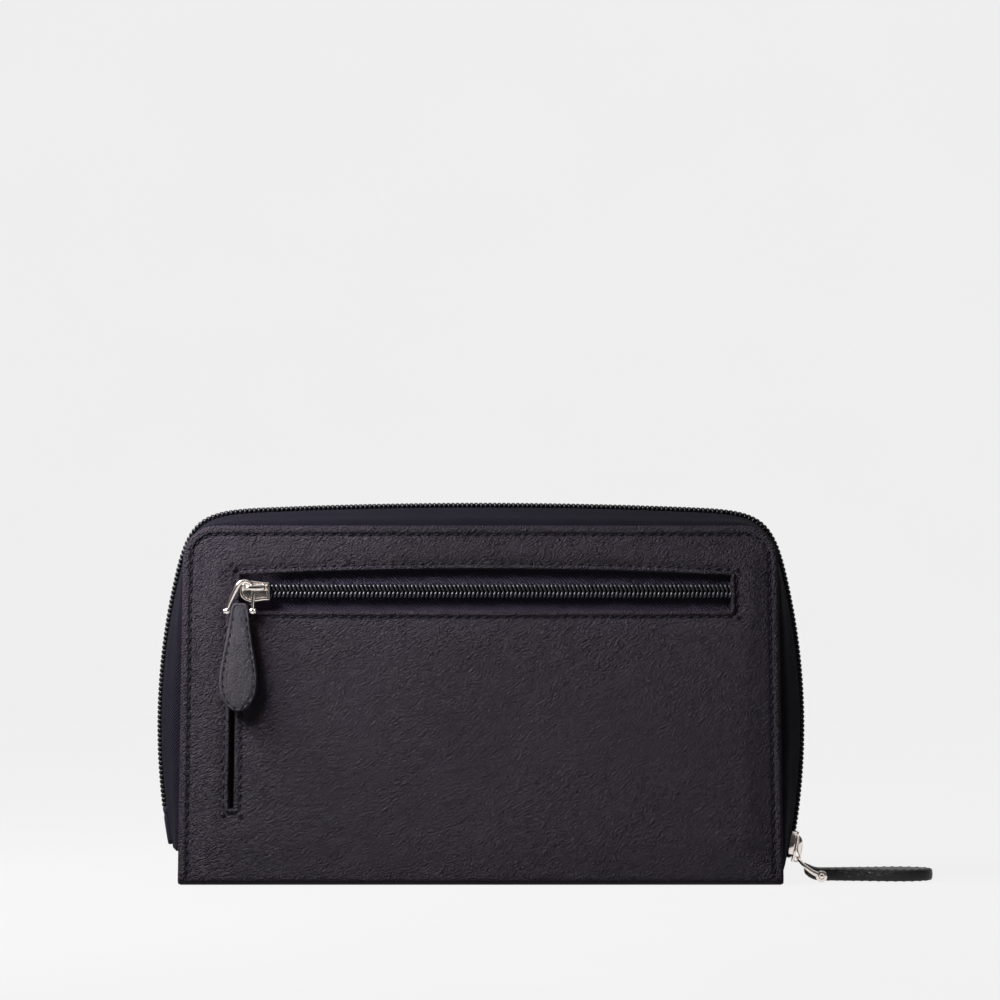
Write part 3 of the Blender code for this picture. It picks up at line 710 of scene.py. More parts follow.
def cloth_finish(name, dark, light, ribs=950.0, depth=0.0005, source="UV"):
    material, tree, shader, place = start_finish(name, 0.9, 0.1)
    weave = add_node(tree, "ShaderNodeGroup", node_tree=twill_weave)
    weave.inputs["Ribs per metre"].default_value = ribs
    spot = place.outputs[source]
    if source == "Object":
        turned_over = add_node(tree, "ShaderNodeMapping", in_Rotation=(math.pi / 2, 0.0, 0.0))
        tree.links.new(spot, turned_over.inputs["Vector"])
        spot = turned_over.outputs["Vector"]
    tree.links.new(spot, weave.inputs["Vector"])
    add_tone(tree, weave.outputs["Tone"], shader.inputs["Base Color"], (0.2, dark), (0.85, light))
    add_bump(tree, weave.outputs["Height"], shader, 0.8, depth)
    return material


def add_map(piece, coordinates):
    """Gives each corner its place along and across the cloth, in metres."""
    layer = piece.data.uv_layers.new(name="cloth_map")
    for loop in piece.data.loops:
        layer.data[loop.index].uv = coordinates[loop.vertex_index]


def cloth_strip(name, sections, lengths, thickness, finish, flip):
    """A sheet swept through its cross lines, given a thickness and a map along it."""
    count = len(sections[0])
    points = [tuple(v * MM for v in p) for section in sections for p in section]
    coordinates = []
    for section, along in zip(sections, lengths):
        across = 0.0
        for i, p in enumerate(section):
            if i:
                across += (p - section[i - 1]).length
            coordinates.append((along * MM, across * MM))
    faces = []
    for i in range(len(sections) - 1):
        for j in range(count - 1):
            a = i * count + j
            face = (a, a + 1, a + 1 + count, a + count)
            faces.append(tuple(reversed(face)) if flip else face)
    piece = add_piece(name, points, faces, finish)
    add_map(piece, coordinates)
    wall = piece.modifiers.new("thickness", "SOLIDIFY")
    wall.thickness = thickness * MM
    wall.offset = 0.0
    return piece


navy_tape = cloth_finish("navy_zip_tape", (0.0003, 0.0002, 0.0012), (0.0058, 0.0042, 0.0108))
LEFT_TAIL, RIGHT_END = 10.2, 4.6
tape_line = zip_line(LEFT_TAIL, RIGHT_END)
tape_normals = line_normals(tape_line)
tape_travel = [0.0]
for before, after in zip(tape_line[:-1], tape_line[1:]):
    tape_travel.append(tape_travel[-1] + (after - before).length)
for word, side in (("front", -1), ("back", 1)):
    sections = []
    for point, normal, travelled in zip(tape_line, tape_normals, tape_travel):
        sections.append([Vector((p.x, side * p.y, p.z)) for p in tape_section(point, normal, travelled)])
    tape = cloth_strip(f"main_tape_{word}_cloth", sections, tape_travel, TAPE_THICK, navy_tape, side < 0)
    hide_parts(f"main_tape_{word}")
    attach(tape, word)


# ---- Main zip teeth --------------------------------------------------------------------------
# Each tape edge carries a continuous nylon coil. The two coils lean opposite ways and mesh along
# the middle, so the closed chain shows a herringbone; they are near black with a soft sheen.
MAIN_PITCH = 1.4
MAIN_REACH = 2.05
TURN_WIRE = 0.42


def make_turn(name, reach, rise, wire, lean, finish):
    """One turn of coil: across is +Y from the middle of the chain, out of the cloth is +Z."""
    rings, sides = 12, 6
    points = []
    centre = Vector((0.0, reach / 2 - 0.12, 0.0))
    half = reach / 2 - wire + 0.12
    for i in range(rings):
        turn = 2 * math.pi * i / rings
        spot = centre + Vector((-lean * math.cos(turn), half * math.cos(turn), rise * math.sin(turn)))
        run = Vector((lean * math.sin(turn), -half * math.sin(turn), rise * math.cos(turn))).normalized()
        side = Vector((1.0, 0.0, 0.0)) - run * run.x
        side.normalize()
        up = run.cross(side)
        for j in range(sides):
            angle = 2 * math.pi * j / sides
            p = spot + (side * math.cos(angle) * 1.3 + up * math.sin(angle)) * wire
            points.append(tuple(p * MM))
    return hidden_master(name, points, tube_faces(rings, sides, closed=True), finish)


def nylon_finish(name, colour, shine):
    material, tree, shader, place = start_finish(name, 0.3, shine)
    rub = add_noise(tree, place.outputs["Object"], 420.0, 3.0).outputs["Fac"]
    add_tone(tree, rub, shader.inputs["Base Color"], (0.3, colour), (0.8, [c * 2.2 for c in colour]))
    tree.links.new(scaled(tree, rub, 0.25, 0.2), shader.inputs["Roughness"])
    return material


nylon = nylon_finish("nylon_coil", (0.0040, 0.0034, 0.0050), 0.17)
LEFT_TEETH, RIGHT_TEETH = 23.2, 8.0
teeth_line = zip_line(LEFT_TEETH, RIGHT_TEETH)
teeth_normals = line_normals(teeth_line)
for word, side, lean in (("front", -1, 0.36), ("back", 1, -0.36)):
    turn = make_turn(f"main_turn_{word}", MAIN_REACH, 0.62, TURN_WIRE, lean, nylon)
    path = [(p.x - n.x * COIL_HIGH, 0.0, p.y - n.y * COIL_HIGH) for p, n in zip(teeth_line, teeth_normals)]
    if side < 0:
        path.reverse()
    coil = repeat_along(f"main_coil_{word}_turns", [path], MAIN_PITCH, (0, side, 0), turn, nylon)
    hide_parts(f"main_coil_{word}")
    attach(coil, word)


# ---- Zip end tab -----------------------------------------------------------------------------
# At the closed end the two tapes are folded over each other and sewn flat, below the last tooth.
TAB_FOOT, TAB_TOP = 11.2, 22.8


def closed_piece(name, shells, finish, merge=False, crease_angle=55):
    """One piece from closed shells, each a list of points in millimetres and its faces."""
    shape = bmesh.new()
    for points, faces in shells:
        corners = [shape.verts.new(Vector(p) * MM) for p in points]
        for face in faces:
            shape.faces.new([corners[i] for i in face])
    if merge:
        bmesh.ops.remove_doubles(shape, verts=shape.verts, dist=2e-6)
        bmesh.ops.dissolve_degenerate(shape, edges=shape.edges, dist=2e-6)
    bmesh.ops.recalc_face_normals(shape, faces=shape.faces)
    mesh = bpy.data.meshes.new(name)
    shape.to_mesh(mesh)
    shape.free()
    piece = link_piece(name, mesh, finish)
    mesh.set_sharp_from_angle(angle=math.radians(crease_angle))
    return piece


def capped_tube(rings):
    """Points and faces of a lofted tube with both ends filled."""
    sides = len(rings[0])
    points = [p for ring in rings for p in ring]
    faces = tube_faces(len(rings), sides)
    faces += [tuple(range(sides)), tuple(range(len(points) - sides, len(points)))]
    return points, faces


def soft_box_ring(half_wide, half_thick, sides=16, square=0.55):
    """A rectangle with well rounded corners, as (across, out) pairs."""
    ring = []
    for i in range(sides):
        angle = 2 * math.pi * (i + 0.5) / sides
        c, s = math.cos(angle), math.sin(angle)
        across = half_wide * math.copysign(abs(c) ** square, c)
        ring.append((across, half_thick * math.copysign(abs(s) ** square, s)))
    return ring


def make_end_fold(finish):
    rings = []
    for t in (0.0, 0.02, 0.06, 0.15, 0.3, 0.5, 0.7, 0.8, 0.86, 0.92, 0.97, 1.0):
        z = TAB_FOOT + (TAB_TOP - TAB_FOOT) * t
        shrink = 1.0 - 0.45 * max(0.0, 1.0 - min(t, 1.0 - t) / 0.06) ** 2
        pinch = 1.0 - 0.3 * math.exp(-((t - 0.8) / 0.05) ** 2)
        angle = math.asin((z - ARC_Z) / ARC_R)
        ring = []
        for across, out in soft_box_ring(2.75 * shrink, 0.8 * shrink * pinch):
            reach = 199.2 + out + 0.12 * math.sin(across * 3.0)
            ring.append((ARC_X - reach * math.cos(angle), across, ARC_Z + reach * math.sin(angle)))
        rings.append(ring)
    points, faces = capped_tube(rings)
    return closed_piece("zip_end_fold", [(points, faces)], finish)


fold_cloth = cloth_finish("folded_tape", (0.0065, 0.0058, 0.0115), (0.021, 0.0185, 0.033), source="Object")
end_fold = make_end_fold(fold_cloth)
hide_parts("zip_end_tab")
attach(end_fold, "back")


# ---- Front pocket zip ------------------------------------------------------------------------
# A second, smaller zip is sewn behind the window, so its tapes show above and below the teeth.
# The slip pocket behind the slit is backed by plain lining cloth.
POCKET_Z = 88.3
POCKET_Y = 12.4
POCKET_PITCH = 1.26


def flat_tape(name, foot, top, x0, x1, y, finish, flip):
    sections = []
    lengths = []
    for x in np.linspace(x0, x1, 90):
        ripple = 0.05 * math.sin(x * 0.55) + 0.04 * math.sin(x * 0.23 + 1.0)
        rows = []
        for z in np.linspace(foot, top, 9):
            near = math.exp(-((z - POCKET_Z) / 2.0) ** 2)
            rows.append(Vector((x, y + ripple - 0.1 * near, z)))
        sections.append(rows)
        lengths.append(x - x0)
    return cloth_strip(name, sections, lengths, 0.32, finish, flip)


pocket_nylon = nylon_finish("pocket_nylon_coil", (0.0065, 0.0058, 0.0085), 0.42)
# The window's tapes are painted several times lighter than the main zip's navy twill: painted light that
# offsets the shade falling on them inside the window.
pocket_tape_painted_light = cloth_finish("navy_pocket_tape_painted_light", (0.019, 0.0155, 0.029), (0.082, 0.068, 0.108))
for word, foot, top in (("upper", 89.45, 98.9), ("lower", 77.1, 87.15)):
    tape = flat_tape(f"pocket_tape_{word}_cloth", foot, top, -77.9, 80.9, -11.1, pocket_tape_painted_light, False)
    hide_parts(f"pocket_tape_{word}")
    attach(tape, "front")
for word, side, shift, lean in (("upper", 1, 0.0, 0.34), ("lower", -1, 0.5, 0.34)):
    turn = make_turn(f"pocket_turn_{word}", 2.2, 0.62, 0.34, lean, pocket_nylon)
    start = -68.6 + shift * POCKET_PITCH
    path = [(x, -POCKET_Y, POCKET_Z) for x in np.linspace(start, 75.0, 60)]
    coil = repeat_along(f"pocket_coil_{word}_turns", [path], POCKET_PITCH, (0, 0, side), turn, pocket_nylon)
    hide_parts(f"pocket_coil_{word}")
    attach(coil, "front")


# ---- Sliders ---------------------------------------------------------------------------------
# Cast and nickel plated: a shield-shaped plate over the teeth with turned-down sides, a smaller
# plate behind, a post between them at the nose, and an arched lug that holds the pull's wire.
def shield_outline(length, widest, tail):
    """Closed outline of a slider plate: rounded nose at +X, square tail at -X."""
    half = length / 2
    controls = [
        (half, 0.0), (half - 0.3, 0.42 * widest), (half - 1.3, 0.8 * widest), (half - 2.9, widest),
        (0.0, 0.97 * widest), (1.8 - half, 1.02 * tail), (0.5 - half, tail), (0.12 - half, tail - 0.1),
        (-half, tail - 0.4), (-half, 0.0),
    ]
    upper = soft_curve([Vector(c) for c in controls], 4)
    return upper + [Vector((p.x, -p.y)) for p in reversed(upper[1:-1])]


def moved_in(outline, inset):
    ring = []
    for i, p in enumerate(outline):
        run = (outline[(i + 1) % len(outline)] - outline[i - 1]).normalized()
        ring.append(p + Vector((-run.y, run.x)) * inset)
    return ring


def cast_plate(outline, levels):
    rings = [[(p.x, p.y, height) for p in moved_in(outline, inset)] for height, inset in levels]
    return capped_tube(rings)


def cast_bar(stations, shift=0.0):
    """A rounded bar through (x, z, half thickness, half width) stations, in the X-Z plane."""
    line = soft_curve([Vector((*s[:2], 0.0)) for s in stations], 4)
    sizes = soft_curve([Vector((*s[2:], 0.0)) for s in stations], 4)
    rings = []
    for i, (p, size) in enumerate(zip(line, sizes)):
        run = (line[min(i + 1, len(line) - 1)] - line[max(i - 1, 0)]).normalized()
        ring = []
        for across, out in soft_box_ring(size.y, size.x, sides=14, square=0.75):
            ring.append((p.x - run.y * out, shift + across, p.y + run.x * out))
        rings.append(ring)
    return capped_tube(rings)


def slider_shells(length, widest, tail, chin_half, coil_half, levels, lug, shift):
    plate_foot, plate_top, lip, chin_top, chin_foot = levels
    half = length / 2
    top = shield_outline(length, widest, tail)
    under = shield_outline(length - 0.6, chin_half, chin_half * 0.95)
    plate = ((plate_foot, 0.25), (plate_foot + 0.1, 0.05), (plate_top - 0.25, 0.0),
             (plate_top - 0.08, 0.1), (plate_top, 0.28), (plate_top, 0.62), (plate_top - 0.16, 0.85),
             (plate_top - 0.36, 1.1))
    chin = ((chin_foot, 0.4), (chin_foot + 0.12, 0.1), (chin_top - 0.15, 0.0), (chin_top, 0.15))
    shells = [cast_plate(top, plate), cast_plate(under, chin)]
    post = [Vector((half - 1.75 + 0.75 * math.cos(a), 0.62 * math.sin(a)))
            for a in np.linspace(0, 2 * math.pi, 17)[:-1]]
    shells.append(cast_plate(post, ((chin_foot + 0.2, 0.0), (plate_foot + 0.2, 0.0))))
    for side in (-1, 1):
        rings = []
        for x in np.linspace(0.15 - half, half - 2.6, 9):
            t = (x + half) / length
            outer = tail + (widest - tail) * ease((t - 0.1) / 0.4) - 0.12
            middle = side * (outer + coil_half + 0.1) / 2
            thick = (outer - coil_half - 0.1) / 2
            ends = 0.35 * max(0.0, 1.0 - min(x + half, half - 2.4 - x) / 0.6)
            height = (plate_foot + 0.1 - lip) / 2
            rings.append([(x, middle + a, lip + height + b + ends * 0.5)
                          for a, b in soft_box_ring(thick, height - ends * 0.5, sides=12, square=0.4)])
        shells.append(capped_tube(rings))
    shells.append(cast_bar(lug, shift))
    return shells


def placed(shells, origin, along, out):
    x = Vector(along).normalized()
    z = Vector(out).normalized()
    y = z.cross(x)
    return [([Vector(origin) + x * a + y * b + z * c for a, b, c in points], faces)
            for points, faces in shells]


def metal_finish(name, colour, rough):
    material, tree, shader, place = start_finish(name, rough, 0.5)
    rub = add_noise(tree, place.outputs["Object"], 700.0, 4.0, in_Roughness=0.6).outputs["Fac"]
    add_tone(tree, rub, shader.inputs["Base Color"], (0.3, [c * 0.86 for c in colour]), (0.65, colour))
    tree.links.new(scaled(tree, rub, 0.22, rough - 0.08), shader.inputs["Roughness"])
    add_bump(tree, rub, shader, 0.25, 0.00004)
    shader.inputs["Metallic"].default_value = 1.0
    return material


nickel = metal_finish("rosy_nickel", (0.92, 0.84, 0.79), 0.12)
MAIN_ANGLE = math.asin((10.56 - ARC_Z) / ARC_R)
MAIN_OUT = (math.cos(MAIN_ANGLE), 0.0, math.sin(MAIN_ANGLE))
MAIN_DOWN = (math.sin(MAIN_ANGLE), 0.0, -math.cos(MAIN_ANGLE))
MAIN_SPOT = (-ARC_X + 199.2 * MAIN_OUT[0], 0.0, ARC_Z + 199.2 * MAIN_OUT[2])
main_lug = ((-3.2, 1.4, 0.5, 1.0), (-3.1, 2.2, 0.6, 1.2), (-2.2, 2.6, 0.9, 1.3), (-0.8, 2.75, 1.05, 1.35),
            (0.8, 2.95, 0.95, 1.2), (1.9, 3.35, 0.5, 0.95), (3.2, 3.55, 0.32, 0.8), (4.15, 3.2, 0.32, 0.7),
            (4.4, 2.4, 0.32, 0.7), (4.3, 1.5, 0.4, 0.7))
pocket_lug = ((-2.6, 1.3, 0.45, 0.75), (-2.9, 2.1, 0.45, 0.8), (-2.3, 3.0, 0.42, 0.85),
              (-1.0, 3.5, 0.36, 0.85),
              (0.6, 3.62, 0.3, 0.75), (1.9, 3.55, 0.28, 0.6), (2.6, 3.0, 0.28, 0.5), (2.75, 2.2, 0.3, 0.5),
              (2.7, 1.3, 0.3, 0.5))
pouch_lug = ((-3.0, 1.4, 0.4, 0.8), (-3.1, 2.2, 0.4, 0.85), (-2.3, 3.1, 0.4, 0.9), (-0.6, 3.45, 0.32, 0.85),
             (1.2, 3.5, 0.28, 0.8), (2.6, 3.3, 0.28, 0.75), (3.15, 2.6, 0.3, 0.7), (3.1, 1.4, 0.4, 0.7))
sliders = (
    ("main_slider", (9.6, 3.6, 3.0, 1.85, 2.05, (1.1, 1.8, -0.85, -2.2, -2.8), main_lug, 0.0),
     MAIN_SPOT, MAIN_DOWN, MAIN_OUT),
    ("pocket_slider", (9.0, 3.2, 2.65, 2.9, 2.3, (1.05, 1.75, -0.5, -1.8, -2.4), pocket_lug, -1.05),
     (-67.8, -POCKET_Y, POCKET_Z), (-1, 0, 0), (0, -1, 0)),
    ("pouch_slider", (7.6, 2.9, 2.4, 1.35, 1.85, (1.0, 1.6, -0.5, -1.75, -2.25), pouch_lug, 0.0),
     (-68.0, 0.0, 93.9), (-1, 0, 0), (0, 0, 1)),
)
for name, sizes, spot, along, out in sliders:
    cast = closed_piece(f"{name}_casting", placed(slider_shells(*sizes), spot, along, out), nickel)
    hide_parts(name)
    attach(cast, name)


# ---- Wire loops and rivets -------------------------------------------------------------------
# Bent nickel wire with an eye at each end hangs from each lug, and a round-headed rivet through
# both eyes carries the leather tab. The coin pouch has only a closed wire ring.
def round_wire(line, radii, sides=12, closed=False):
    """Points and faces of a wire that changes thickness along its line."""
    rings = []
    count = len(line)
    guide = Vector((0.31, 0.52, 0.79))
    for i, p in enumerate(line):
        before = line[i - 1] if closed or i else line[0]
        after = line[(i + 1) % count] if closed or i < count - 1 else line[-1]
        run = (after - before).normalized()
        side = (guide - run * guide.dot(run)).normalized()
        guide = side
        up = run.cross(side)
        ring = []
        for j in range(sides):
            angle = 2 * math.pi * j / sides
            ring.append(p + (side * math.cos(angle) + up * math.sin(angle)) * radii[i])
        rings.append(ring)
    if closed:
        return [p for ring in rings for p in ring], tube_faces(count, sides, closed=True)
    return capped_tube(rings)


def turned(axis_point, axis, profile, sides=24):
    """A lathe shape from (along, radius) pairs about an axis, closed into a ring or a solid."""
    axis = Vector(axis).normalized()
    side = axis.orthogonal().normalized()
    up = axis.cross(side)
    rings = []
    for along, radius in profile:
        centre = Vector(axis_point) + axis * along
        rings.append([centre + (side * math.cos(a) + up * math.sin(a)) * radius
                      for a in np.linspace(0, 2 * math.pi, sides + 1)[:-1]])
    return rings


def eye_ring(spot, axis, outer, inner, half):
    profile = ((-half, inner), (-half, outer - 0.2), (0.2 - half, outer), (half - 0.2, outer),
               (half, outer - 0.2), (half, inner))
    rings = turned(spot, axis, profile)
    points = [p for ring in rings for p in ring]
    sides = len(rings[0])
    faces = tube_faces(len(rings), sides)
    last = len(points) - sides
    for j in range(sides):
        k = (j + 1) % sides
        faces.append((last + j, last + k, k, j))
    return points, faces


def rivet_half(spot, outward, inner_end, head_at, head):
    """Shank and domed head on one side of the tab."""
    profile = ((inner_end, 0.5), (head_at, 0.5), (head_at, head - 0.12), (head_at + 0.12, head),
               (head_at + 0.3, head * 0.97), (head_at + 0.42, head * 0.84), (head_at + 0.42, head * 0.72),
               (head_at + 0.3, head * 0.6), (head_at + 0.4, head * 0.4), (head_at + 0.44, 0.1))
    return capped_tube(turned(spot, outward, profile))


def loop_piece(name, controls, widths, eyes, axis, eye_size):
    line = soft_curve([Vector(c) for c in controls], 6)
    radii = [p.x for p in soft_curve([Vector((w, 0.0, 0.0)) for w in widths], 6)]
    shells = [round_wire(line, radii)]
    shells += [eye_ring(eye, axis, eye_size, 0.78, 0.6) for eye in eyes]
    return closed_piece(name, shells, nickel)


PIN_X, PIN_Y, PIN_Z = -72.15, -14.9, 82.4
left_eye, right_eye = (PIN_X - 3.75, PIN_Y, PIN_Z), (PIN_X + 3.75, PIN_Y, PIN_Z)
controls = [(-75.7, 83.4), (-75.2, 84.9), (-74.0, 87.6), (-73.0, 89.7), (-71.9, 91.0), (-70.4, 91.35),
            (-69.0, 90.8), (-68.3, 89.6), (-68.15, 87.6), (-68.3, 85.0), (-68.4, 83.4)]
widths = (0.58, 0.66, 0.75, 0.78, 0.72, 0.62, 0.56, 0.55, 0.56, 0.58, 0.58)
pocket_wire = loop_piece("pocket_loop_wire", [(x, PIN_Y, z) for x, z in controls], widths,
                         (left_eye, right_eye), (1, 0, 0), 1.08)
main_pin = Vector((103.1, 0.0, 1.8))
main_hook = Vector(MAIN_SPOT) + Vector(MAIN_OUT) * 2.6 + Vector(MAIN_DOWN) * 3.0
run = (main_pin - main_hook).normalized()
reach = (main_pin - main_hook).length
bend = [(reach - 1.2, -3.9), (reach - 3.4, -3.75), (2.8, -3.15), (1.1, -2.35), (0.2, -1.5), (0.0, 0.0)]
bend += [(a, -b) for a, b in reversed(bend[:-1])]
controls = []
for along, across in bend:
    sag = 0.7 * math.sin(math.pi * min(along / reach, 1.0))
    controls.append(main_hook + run * along + Vector((-0.59 * sag, across, -0.8 * sag)))
widths = (0.85, 0.7, 0.55, 0.48, 0.46, 0.45, 0.46, 0.48, 0.55, 0.7, 0.85)
main_eyes = [tuple(main_pin + Vector((0, side * 3.9, 0))) for side in (-1, 1)]
main_wire = loop_piece("main_loop_wire", controls, widths, main_eyes, (0, 1, 0), 1.72)
for piece, body, node in ((pocket_wire, "pocket_loop", "pocket_pull_loop"),
                          (main_wire, "main_loop", "main_pull_loop")):
    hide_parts(node)
    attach(piece, body)
pins = (
    ("pocket_rivet", "pocket_loop", "pocket_pull_pin", (PIN_X, PIN_Y, PIN_Z), (1, 0, 0), 2.95, 4.4, 0.95),
    ("main_rivet", "main_loop", "main_pull_pin", tuple(main_pin), (0, 1, 0), 2.95, 4.55, 1.1),
)
for name, body, node, spot, axis, inner, head_at, head in pins:
    halves = [rivet_half(spot, Vector(axis) * side, inner, head_at, head) for side in (-1, 1)]
    rivet = closed_piece(name, halves, nickel)
    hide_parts(node)
    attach(rivet, body)
ring_shape = [(0.0, -1.4), (0.25, -2.1), (1.6, -2.65), (6.0, -3.1), (10.4, -3.15), (11.7, -2.5), (12.0, -1.4)]
ring_shape += [(a, -b) for a, b in reversed(ring_shape)]
pouch_hook = Vector((-66.1, 0.0, 96.3))
line = [pouch_hook + Vector((a, b, 0.0)) for a, b in ring_shape]
smooth = soft_curve(line + [line[0]], 5)[:-1]
pouch_ring = closed_piece("pouch_pull_ring", [round_wire(smooth, [0.48] * len(smooth), closed=True)], nickel)
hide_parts("pouch_pull")
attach(pouch_ring, "pouch_pull")


# ---- Leather pull tabs -----------------------------------------------------------------------
# Two layers of the hide over a soft filler, folded round the rivet, cut to a long drop shape and
# stitched a millimetre in from the edge, which leaves a firm rim and a plump middle.
TAB_STITCH = 1.05


def drop_outline(reach, widest, half, top_end, step=0.45):
    """Closed outline from the rivet's side: X away from the rivet, Y across."""
    controls = [(-top_end, 0.0), (-top_end + 0.05, 1.3), (-top_end + 0.35, 2.05), (-top_end * 0.5, 2.45),
                (0.0, 2.8), (widest * 0.2, 3.3), (widest * 0.5, 4.4), (widest * 0.8, half * 0.975),
                (widest, half), (widest + (reach - widest) * 0.38, half * 0.9),
                (widest + (reach - widest) * 0.72, half * 0.66),
                (widest + (reach - widest) * 0.93, half * 0.33),
                (reach, 0.0)]
    upper = soft_curve([Vector(c) for c in controls], 14)
    even = [upper[0]]
    for p in upper[1:-1]:
        if (p - even[-1]).length >= step:
            even.append(p)
    even.append(upper[-1])
    ring = even + [Vector((p.x, -p.y)) for p in reversed(even[1:-1])]
    return list(reversed(ring))


def tab_spine(p, reach, widest, top_end):
    low, high = 0.6 - top_end + 0.8, widest + (reach - widest) * 0.25
    return Vector((min(max(p.x, low), high), 0.0))


def tab_level(inset, share, thick):
    """Half thickness at that distance in from the edge; share runs 0 to 1 towards the middle."""
    rim = 0.84 * thick * (1.0 - (1.0 - min(inset / 0.5, 1.0)) ** 2) ** 0.5
    crown = 0.16 * thick * ease(share * 1.15)
    groove = 0.15 * math.exp(-((inset - TAB_STITCH) / 0.3) ** 2)
    return rim + crown - groove


def tab_shell(reach, widest, half, thick, top_end, bend):
    outline = drop_outline(reach, widest, half, top_end)
    insets = (0.0, 0.06, 0.18, 0.36, 0.6, 0.8, 0.95, 1.05, 1.15, 1.3, 1.5)
    shares = (0.14, 0.3, 0.5, 0.72, 1.0)
    levels = [("mm", v) for v in insets] + [("share", v) for v in shares]
    rings = []
    for side in (1, -1):
        stops = reversed(levels) if side > 0 else levels[1:]
        for kind, value in stops:
            ring = []
            for p in outline:
                spine = tab_spine(p, reach, widest, top_end)
                gap = spine - p
                length = gap.length
                first = min(1.5, 0.8 * length)
                inset = value * first / 1.5 if kind == "mm" else first + (length - first) * value
                spot = p + gap * (inset / length)
                share = max(inset - 0.9, 0.0) / max(length - 0.9, 0.4) * min(length / 4.0, 1.0)
                height = side * tab_level(inset, share, thick / 2)
                ring.append((spot.x, spot.y, height + bend(spot.x)))
            rings.append(ring)
    points, faces = capped_tube(rings)
    return points, faces[:-2]


def tab_stitch_rows(reach, widest, half, thick, top_end, bend):
    """Stitch lines on both faces, as points in the tab's own frame."""
    rows = []
    for side in (1, -1):
        row = []
        for p in drop_outline(reach, widest, half, top_end):
            spine = tab_spine(p, reach, widest, top_end)
            gap = spine - p
            spot = p + gap * (TAB_STITCH / gap.length)
            if spot.x < 1.6:
                continue
            height = side * (tab_level(TAB_STITCH, 0.0, thick / 2) - 0.02)
            row.append((spot.x, spot.y, height + bend(spot.x)))
        rows.append(row)
    return rows


# The pocket tab's leather is lighter than the cover hide: partly a greyer, smoother leather and partly
# painted light for its padded face turned towards the lamp.
tab_hide_and_painted_light = leather_finish("tab_hide_and_painted_light", (0.0205, 0.0175, 0.0240), (0.041, 0.0360, 0.045), 0.5,
                          pebbles=1900.0, crease=0.35, depth=0.00022)
# Painted shade: the main pull's tab gets a copy of the tab leather about half as bright, standing in for the
# shade on its forward-facing side.
tab_hide_painted_shade = leather_finish("tab_hide_painted_shade", (0.0050, 0.0040, 0.0048), (0.0105, 0.0084, 0.0098), 0.42,
                               pebbles=1900.0, crease=0.4, depth=0.00008, shine=0.35)
tabs = (
    ("pocket", (30.2, 22.3, 5.7, 2.3, 2.4, lambda x: 0.05 * min(max(x, 0.0), 9.0)),
     (PIN_X, PIN_Y, PIN_Z), (-0.02, 0, -1), (0, -1, 0)),
    ("main", (34.1, 25.0, 5.7, 4.1, 5.0, lambda x: 0.35 + 0.08 * max(-x, 0.0) ** 2),
     tuple(main_pin), (1, 0, 0), (0, 0, 1)),
)
tab_stitch = hidden_master("tab_stitch_master", [(x * 0.85, y * 0.85, z * 0.8) for x, y, z in stitch_points],
                           stitch_faces, navy_thread)
for word, shape, spot, along, out in tabs:
    # The pocket tab takes the partly painted-light leather; the main tab takes the painted-shade copy.
    finish = tab_hide_and_painted_light if word == "pocket" else tab_hide_painted_shade
    shell = placed([tab_shell(*shape)], spot, along, out)
    tab = closed_piece(f"{word}_tab_leather", shell, finish, merge=True)
    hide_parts(f"{word}_pull_tab")
    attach(tab, f"{word}_tab")
    for face, side, row in zip(("outer", "inner"), (1, -1), tab_stitch_rows(*shape)):
        points = placed([(row, [])], spot, along, out)[0][0]
        facing = tuple(side * v for v in out)
        thread = repeat_along(f"{word}_tab_{face}_stitches", [points], 2.5, facing, tab_stitch, navy_thread)
        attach(thread, f"{word}_tab")


# ---- Linings and card pockets ----------------------------------------------------------------
# Each cover is lined with plain dark cloth. Four thin leather card pockets are stepped over it,
# every top edge turned and stitched, and one line of stitching up the middle makes two columns.
def inside_panel(name, half, foot, top, corner, levels, side, relief, finish, stops=(), step=3.5):
    """A thin sheet parallel to the covers; levels are how far its face and back lie from the middle."""
    face, back = levels
    away = 1.0 if face > back else -1.0
    xs = lines_between([-half, half, *(s for kind, s in stops if kind == "x")], step)
    zs = lines_between([foot, top, *(s for kind, s in stops if kind == "z")], step)
    points = []
    for outer in (True, False):
        for z in zs:
            for x in xs:
                px, pz = rounded(x, z, half, top, corner) if corner else (x, z)
                rise = away * relief(x, z) if outer else 0.0
                points.append((px, side * ((face if outer else back) + rise), pz))
    columns, rows = len(xs), len(zs)
    shift = columns * rows
    faces = []
    for r in range(rows - 1):
        for c in range(columns - 1):
            a = r * columns + c
            face_ring = (a, a + 1, a + 1 + columns, a + columns)
            faces.append(face_ring)
            faces.append(tuple(shift + i for i in reversed(face_ring)))
    rim = [(c, c + 1) for c in range(columns - 1)]
    rim += [(shift - 1 - c, shift - 2 - c) for c in range(columns - 1)]
    rim += [((r + 1) * columns - 1, (r + 2) * columns - 1) for r in range(rows - 1)]
    rim += [((r + 1) * columns, r * columns) for r in range(rows - 1)]
    faces += [(b, a, a + shift, b + shift) for a, b in rim]
    piece = closed_piece(name, [(points, faces)], finish, crease_angle=50)
    add_map(piece, [(p[0] * MM, p[2] * MM) for p in points])
    return piece


lining_cloth = cloth_finish("plain_lining", (0.012, 0.0105, 0.014), (0.03, 0.027, 0.034), ribs=1100.0,
                            depth=0.00006)
pocket_hide = leather_finish("pocket_hide", (0.020, 0.0172, 0.0235), (0.034, 0.0295, 0.038), 0.52,
                             pebbles=1900.0, crease=0.25, depth=0.00008)


def lining_relief(x, z):
    return 0.04 * math.sin(x * 0.09) * math.sin(z * 0.11 + 0.6)


POCKET_HALF = 87.3
POCKET_TOPS = (88.0, 76.0, 64.0, 52.0)
POCKET_LAYERS = ((7.2, 7.6), (6.5, 6.9), (5.8, 6.2), (5.1, 5.5))
POCKET_FOOT = 6.5


